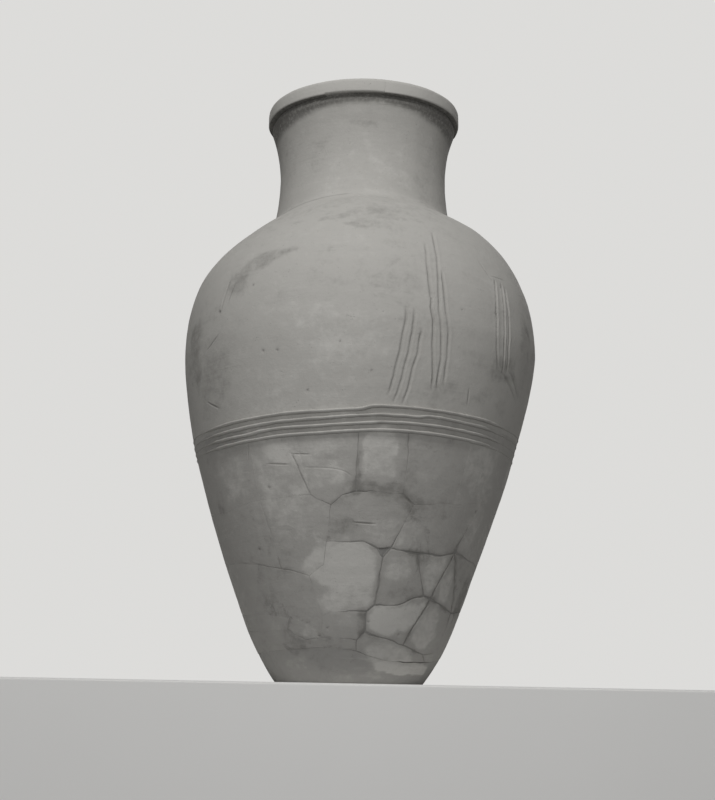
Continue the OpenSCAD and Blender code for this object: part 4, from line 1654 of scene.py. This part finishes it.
@dataclass
class Lip:
    """The thick rounded lip, in the four lengths that it broke into."""

    wardrobe: Wardrobe
    face_r: float = 202.5
    width: float = 32.0
    round_r: float = 9.0
    edge_r: float = 3.6
    drop: float = 4.5
    column: float = 5.0
    joint_half: float = 0.1
    flare: float = 1.8
    undercut: float = 8.0
    steps_down: tuple[float, ...] = (0.5, -0.9, 0.2, 0.0)
    steps_out: tuple[float, ...] = (-0.3, 0.5, -0.2, 0.1)
    tones: tuple[float, ...] = (0.05, -0.02, 0.06, 0.0)

    def section(self) -> Array:
        """The lip's section from the neck round to the inside, as rows of [radius, height]."""
        foot_z = BREAKS.height(LIP_FOOT_LEVEL)
        levels = np.linspace(foot_z, WALL.neck_top_z, 3)[:-1]
        neck = [(float(WALL.outer_r(z)), z) for z in levels]
        start = float(WALL.outer_r(WALL.neck_top_z))
        cove = [
            (start + self.flare * (1 - math.exp(-h / 5)) - self.undercut * (h / WALL.cove_h) ** 2,
             WALL.neck_top_z + h)
            for h in np.linspace(0, WALL.cove_h - self.drop - 0.6, 9)
        ]
        top = WALL.total_h - self.round_r
        corners = (
            (self.face_r - self.edge_r, WALL.lip_z - self.drop + self.edge_r, self.edge_r,
             -84, 0),
            (self.face_r - self.round_r, top, self.round_r, 0, 90),
            (self.face_r - self.width + self.round_r, top, self.round_r, 90, 180),
        )
        arcs = []
        for r, z, size, first, last in corners:
            for t in np.radians(np.linspace(first, last, 7)):
                arcs.append((r + size * math.cos(t), z + size * math.sin(t)))
        inner = [
            (float(WALL.outer_r(min(z, WALL.neck_top_z))) - WALL.thickness, z)
            for z in np.linspace(WALL.total_h - 3 * self.round_r, foot_z, 6)
        ]
        return np.array(neck + cove + arcs + inner)

    def build(self) -> list[Thing]:
        """Builds and dresses the four lengths of lip."""
        pieces = []
        ring = Course.RIM.value
        seams = BREAKS.seams[ring]
        section = self.section()
        levels = BREAKS.height(LIP_FOOT_LEVEL), BREAKS.height(LIP_TOP_LEVEL)
        rise = np.interp(section[:, 1], levels, (0, 1))
        for k, (low, high) in enumerate(seams):
            after = seams[(k + 1) % len(seams)]
            ends = [(low, high), after]
            if k + 1 == len(seams):
                ends[1] = tuple(i + len(BREAKS.rings[ring + j]) for j, i in enumerate(after))
            first, last = (
                [BREAKS.corner(ring + j, i)[0] for j, i in enumerate(pair)] for pair in ends)
            slack = math.degrees(self.joint_half / self.face_r)
            left = first[0] + (first[1] - first[0]) * rise + slack
            right = last[0] + (last[1] - last[0]) * rise - slack
            columns = math.ceil(math.radians((right - left).mean()) * self.face_r / self.column)
            piece = self.length(f"rim_segment_{k + 1}_clay", k, section, left, right, columns)
            self.wardrobe.dress(piece, Finish.RIM)
            ride_for(piece, "upper_clay", f"rim_segment_{k + 1}")
            pieces.append(piece)
        return pieces

    def length(self, name: str, k: int, section: Array, left: Array,
               right: Array, columns: int) -> Thing:
        """Sweeps one length of lip.

        Args:
            name: The piece's name.
            k: Which length it is.
            section: The lip's section.
            left: Azimuth of its left end at each point of the section.
            right: Azimuth of its right end at each point of the section.
            columns: How many steps it has.

        Returns:
            The closed mesh object.
        """
        skin, n = Skin(), len(section)
        inner_r = self.face_r - self.width
        lift = smooth_step(WALL.neck_top_z + 4, WALL.lip_z, section[:, 1])
        outer = smooth_step(inner_r - 2, inner_r + 9, section[:, 0])
        hidden = (section[:, 0] < inner_r + 3) & (section[:, 1] < WALL.total_h - 12)
        for i in range(columns + 1):
            az = left + (right - left) * i / columns
            r, z = section.T
            solid = around(np.radians(az), r, z)
            under = 1 - smooth_step(WALL.total_h - 14, WALL.total_h, z)
            bumps = layered(solid, (0.5, 36, 95), (0.2, 11, 96))
            r = r + lift * outer * (self.steps_out[k] + bumps)
            z = z - lift * under * (self.steps_down[k] + 0.7 * soft_noise(solid, 60, 97))
            places = np.column_stack([az, z])
            tone = SURFACE.tone(places, solid) + self.tones[k]
            # Painted shadow under the lip, with some grime: it darkens the tone and fills the stain
            shadow_and_grime = SURFACE.under_lip(places, solid) * outer
            skin.add(WALL.turned(az, r, z), tone - shadow_and_grime, shadow_and_grime, 0.6 * hidden)
        for i in range(columns):
            p, q = i * n, (i + 1) * n
            skin.faces += [(p + j, q + j, q + (j + 1) % n, p + (j + 1) % n) for j in range(n)]
        skin.faces.append(tuple(range(n)))
        skin.faces.append(tuple(reversed(range(columns * n, (columns + 1) * n))))
        return skin.make(name)


@dataclass
class RibBand:
    """The four applied ribs, pressed on by hand round the lower body."""

    wardrobe: Wardrobe
    tree: StripTree
    count: int = 4
    pitch: float = 13.5
    width: float = 11.8
    height: float = 5.6
    seat: float = 1.6
    step_deg: float = 1.0
    # How far the ribs wander from their height, by azimuth
    way: tuple[Place, ...] = (
        (-180, -4), (-100, -9), (-63, -9), (-43, -7), (-25, -5), (-11, -4.5), (0, -2.5),
        (8, 0), (15, 0.5), (30, -1), (47, -5), (60, -10), (66, -12), (100, -9), (180, -4))
    # Where they are worn nearly away, in azimuth, and how full they are left there
    worn: tuple[Place, ...] = ((-110, -60), (57, 110))
    worn_full: float = 0.2
    # Where the ends of each rib overlap, in azimuth, and how far they miss each other
    joins: tuple[Place, ...] = ((3.0, 2.4), (22.0, 1.6), (-36.0, 1.2), (128.0, 1.8))
    noise_r: float = 320.0
    worn_fade: float = 9.0
    roughness: float = 1.2
    grain: float = 60.0
    sides: int = 18

    def line(self, k: int) -> tuple[Array, Array]:
        """The way of one rib on the wall, and how full it is along it."""
        az = np.arange(-180.0, 180.0, self.step_deg)
        z = np.full(len(az), WALL.band_z + ((self.count - 1) / 2 - k) * self.pitch)
        a = np.radians(az)
        own, shared = around(a, self.noise_r, z * 3), around(a, self.noise_r, 0.0)
        z += 1.3 * soft_noise(shared, 150, 101) + layered(own, (0.8, 70, 102), (0.4, 22, 103))
        z += np.interp(az, *zip(*self.way))
        centre, miss = self.joins[k]
        turn = az - centre
        z += miss * np.tanh(turn / 1.4) * np.exp(-((turn / 15) ** 2))
        full = 0.95 + layered(own, (0.13, 90, 104), (0.08, 25, 105))
        full += 0.12 * np.exp(-((turn / 1.8) ** 2))
        for low, high in self.worn:
            rubbed = smooth_step(low - self.worn_fade, low + self.worn_fade, az)
            rubbed *= 1 - smooth_step(high - self.worn_fade, high + self.worn_fade, az)
            full *= 1 - (1 - self.worn_full) * rubbed
        return WALL.place(az, z, 0.3), full

    def build(self) -> list[Thing]:
        """Builds and dresses the ribs."""
        pieces = []
        for k in range(self.count):
            points, full = self.line(k)
            n = len(points)
            edges = [(i, (i + 1) % n) for i in range(n)]
            lean = math.atan(float(WALL.incline(np.array([WALL.band_z]), 20)[0]))
            values = {
                "Width": self.width * METRES, "Height": self.height * METRES,
                "Seat": self.seat * METRES, "Lean": lean,
                "Roughness": self.roughness * METRES, "Grain": self.grain,
                "Sides": self.sides, "Seed": k + 3,
                "Material": self.wardrobe.material(Finish.RIB),
            }
            piece = self.tree.strip(f"rib_{k + 1}_clay", points, edges, full, values)
            places, solid = mesh_places(piece)
            tone = SURFACE.tone(places, solid) * 0.5 + 0.25 + 0.15 * soft_noise(solid, 60, 106)
            # Paler crests and darker feet: a painted highlight along the crests, partly rubbed
            # wear, and painted shade low down
            above = WALL.above(solid)
            tone += 0.7 * (smooth_step(0.0, self.height, above) - 0.4)
            stain = 0.3 * smooth_step(0.1, 0.7, soft_noise(solid, 28, 107))
            # The stain also darkens each rib's foot: painted shade in the crease against the wall
            stain = np.maximum(stain, 0.4 * (1 - smooth_step(0.0, 1.8, above)))
            paint(piece, tone, stain)
            ride_for(piece, "rib_clay", f"rib_{k + 1}")
            pieces.append(piece)
        return pieces


@dataclass
class JointPlaster:
    """Plaster pressed into the breaks between the sherds of the lower body."""

    wardrobe: Wardrobe
    tree: StripTree
    bead: float = 3.2
    bead_more: float = 1.6
    set_in: float = 0.9
    roughness: float = 0.9
    grain: float = 110.0
    sides: int = 10
    courses: tuple[Course, ...] = LOWER_COURSES

    def build(self) -> list[Thing]:
        """Builds and dresses one net of beads for each course."""
        pieces = []
        for course in self.courses:
            points, edges, gape = self.net(course)
            size = self.bead + self.bead_more * gape
            values = {
                "Width": 2 * METRES, "Height": 1 * METRES, "Seat": 1 * METRES,
                "Roughness": self.roughness * METRES, "Grain": self.grain,
                "Sides": self.sides, "Seed": 20 + course.value,
                "Material": self.wardrobe.material(Finish.JOINT),
            }
            name = f"{course.name.lower()}_joint_plaster"
            piece = self.tree.strip(name, points, edges, size, values)
            _, solid = mesh_places(piece)
            paint(piece, 0.5 * soft_noise(solid, 40, 111))
            ride_for(piece, "plaster")
            pieces.append(piece)
        return pieces

    def net(self, course: Course) -> tuple[Array, list[tuple[int, int]], Array]:
        """The beads' lines: the seams of a course and the ring above it."""
        c = course.value
        lines = [[BREAKS.corner(c, low), BREAKS.corner(c + 1, high)]
                 for low, high in BREAKS.seams[c]]
        if course is not Course.BAND:
            lines.append([BREAKS.corner(c + 1, i) for i in range(len(BREAKS.rings[c + 1]) + 1)])
        points, edges, gapes, count = [], [], [], 0
        for line in lines:
            way = BREAKS.jagged(line, closed=False)
            gape = BREAKS.gape(way)
            size = self.bead + self.bead_more * gape
            points.append(WALL.place(way[:, 0], way[:, 1], self.set_in + size))
            gapes.append(gape)
            edges += [(count + i, count + i + 1) for i in range(len(way) - 1)]
            count += len(way)
        return np.vstack(points), edges, np.concatenate(gapes)


@dataclass
class Studio:
    """Floor, lamps, pale surroundings and the camera at the photograph's angle."""

    image: tuple[int, int] = (715, 800)
    focal_px: float = 1600.0
    centre_px: tuple[float, float] = (355.0, 398.5)
    sensor: float = 36.0
    camera_place: tuple[float, float, float] = (0.0044, -3.2, -0.132)
    pitch: float = 12.6
    roll: float = 1.09
    floor_front: float = -0.185
    floor_reach: float = 4.0
    floor_t: float = 0.7
    pale: tuple[float, float, float] = (0.72, 0.715, 0.7)
    sky: float = 0.1
    aim: tuple[float, float, float] = (0, 0, 0.65)
    lamps: tuple[tuple[str, tuple[float, float, float], float, float], ...] = (
        ("key", (-0.3, -2.9, 4.2), 1.1, 122.0),
        ("fill", (-0.1, -3.8, 0.5), 1.6, 42.0),
        ("back", (0.8, 3.0, 2.6), 2.0, 16.0),
    )

    def build(self) -> None:
        """Sets up everything round the jar."""
        self.make_floor()
        self.make_world()
        for name, place, size, power in self.lamps:
            self.lamp(name, place, size, power)
        self.make_camera()
        bpy.context.scene.view_settings.view_transform = "Standard"

    def make_floor(self) -> None:
        """A thick pale slab with a softened front edge."""
        mesh = bpy.data.meshes.new("floor")
        work = bmesh.new()
        bmesh.ops.create_cube(work, size=1.0)
        depth = self.floor_reach - self.floor_front
        for v in work.verts:
            v.co.x *= 2 * self.floor_reach
            v.co.y = self.floor_front + (v.co.y + 0.5) * depth
            v.co.z = (v.co.z - 0.5) * self.floor_t
        edges = [e for e in work.edges if all(v.co.z > -0.01 for v in e.verts)]
        bmesh.ops.bevel(work, geom=edges, offset=0.004, segments=4, affect="EDGES")
        work.to_mesh(mesh)
        work.free()
        floor = placed("floor", mesh)
        material = bpy.data.materials.new("Pale floor")
        material.use_nodes = True
        table = NodeTable(material.node_tree)
        shader = material.node_tree.nodes["Principled BSDF"]
        spot = table.add("ShaderNodeTexCoord").outputs["Object"]
        cloud = table.noise(spot, 3.0, 3.0)
        darker = tuple(c * 0.96 for c in self.pale)
        colour = table.blend(cloud, (*darker, 1), (*self.pale, 1))
        table.join(colour, shader.inputs["Base Color"])
        shader.inputs["Roughness"].default_value = 0.9
        floor.data.materials.append(material)

    def make_world(self) -> None:
        """Even light from all round, and a pale background behind the jar."""
        world = bpy.data.worlds.new("Studio")
        bpy.context.scene.world = world
        world.use_nodes = True
        table = NodeTable(world.node_tree)
        world.node_tree.nodes.clear()
        path = table.add("ShaderNodeLightPath")
        camera, glossy, through = (
            path.outputs[f"Is {kind} Ray"] for kind in ("Camera", "Glossy", "Transmission"))
        shown = table.maths("MAXIMUM", table.maths("MAXIMUM", camera, glossy), through)
        light = table.add("ShaderNodeBackground", {"Color": (1, 1, 1, 1), "Strength": self.sky})
        back = table.add("ShaderNodeBackground", {"Color": (*self.pale, 1), "Strength": 1.0})
        mix = table.add("ShaderNodeMixShader", {0: shown, 1: light.outputs[0], 2: back.outputs[0]})
        out = table.add("ShaderNodeOutputWorld")
        table.join(mix.outputs[0], out.inputs["Surface"])

    def lamp(self, name: str, place: tuple[float, float, float], size: float, power: float) -> None:
        """A square soft lamp that looks at the middle of the jar."""
        data = bpy.data.lights.new(name, "AREA")
        data.shape = "SQUARE"
        data.size = size
        data.energy = power
        lamp = placed(name, data)
        lamp.location = place
        aim = Vector(self.aim) - lamp.location
        lamp.rotation_euler = aim.to_track_quat("-Z", "Y").to_euler()

    def make_camera(self) -> None:
        """The camera, with the lens and the place worked out from the photograph."""
        width, height = self.image
        data = bpy.data.cameras.new("camera")
        data.sensor_width = self.sensor
        data.lens = self.focal_px / max(width, height) * self.sensor
        data.shift_x = (width / 2 - self.centre_px[0]) / max(width, height)
        data.shift_y = (self.centre_px[1] - height / 2) / max(width, height)
        camera = placed("camera", data)
        camera.location = self.camera_place
        look = Euler((math.radians(90 + self.pitch), 0, 0)).to_matrix()
        twist = Euler((0, 0, math.radians(self.roll))).to_matrix()
        camera.rotation_euler = (look @ twist).to_euler()
        bpy.context.scene.camera = camera


def main() -> None:
    """Builds the jar piece by piece, then the studio round it."""
    logging.basicConfig(level=logging.INFO, format="%(name)s: %(message)s")
    wardrobe = Wardrobe(Effects().build())
    tree = StripTree()
    makers = {
        "plaster foot": PlasterFoot(wardrobe),
        "lower body": SherdCourses(
            wardrobe, LOWER_COURSES, Finish.LOWER, "lower_clay", False, 0.16,
            {"middle_sherd_4": 0.12, "lower_sherd_5": 0.15, "base_sherd_4": 0.05}),
        "notch fill": NotchFill(wardrobe),
        "upper body": SherdCourses(
            wardrobe, UPPER_COURSES, Finish.UPPER, "upper_clay", True, 0.03),
        "lip": Lip(wardrobe),
        "rib band": RibBand(wardrobe, tree),
        "joint plaster": JointPlaster(wardrobe, tree),
    }
    for label, maker in makers.items():
        made = maker.build()
        for piece in made if isinstance(made, list) else [made]:
            LOG.info("%s: %s, %d faces", label, piece.name, len(piece.data.polygons))
    Studio().build()


if __name__ == "__main__":
    main()
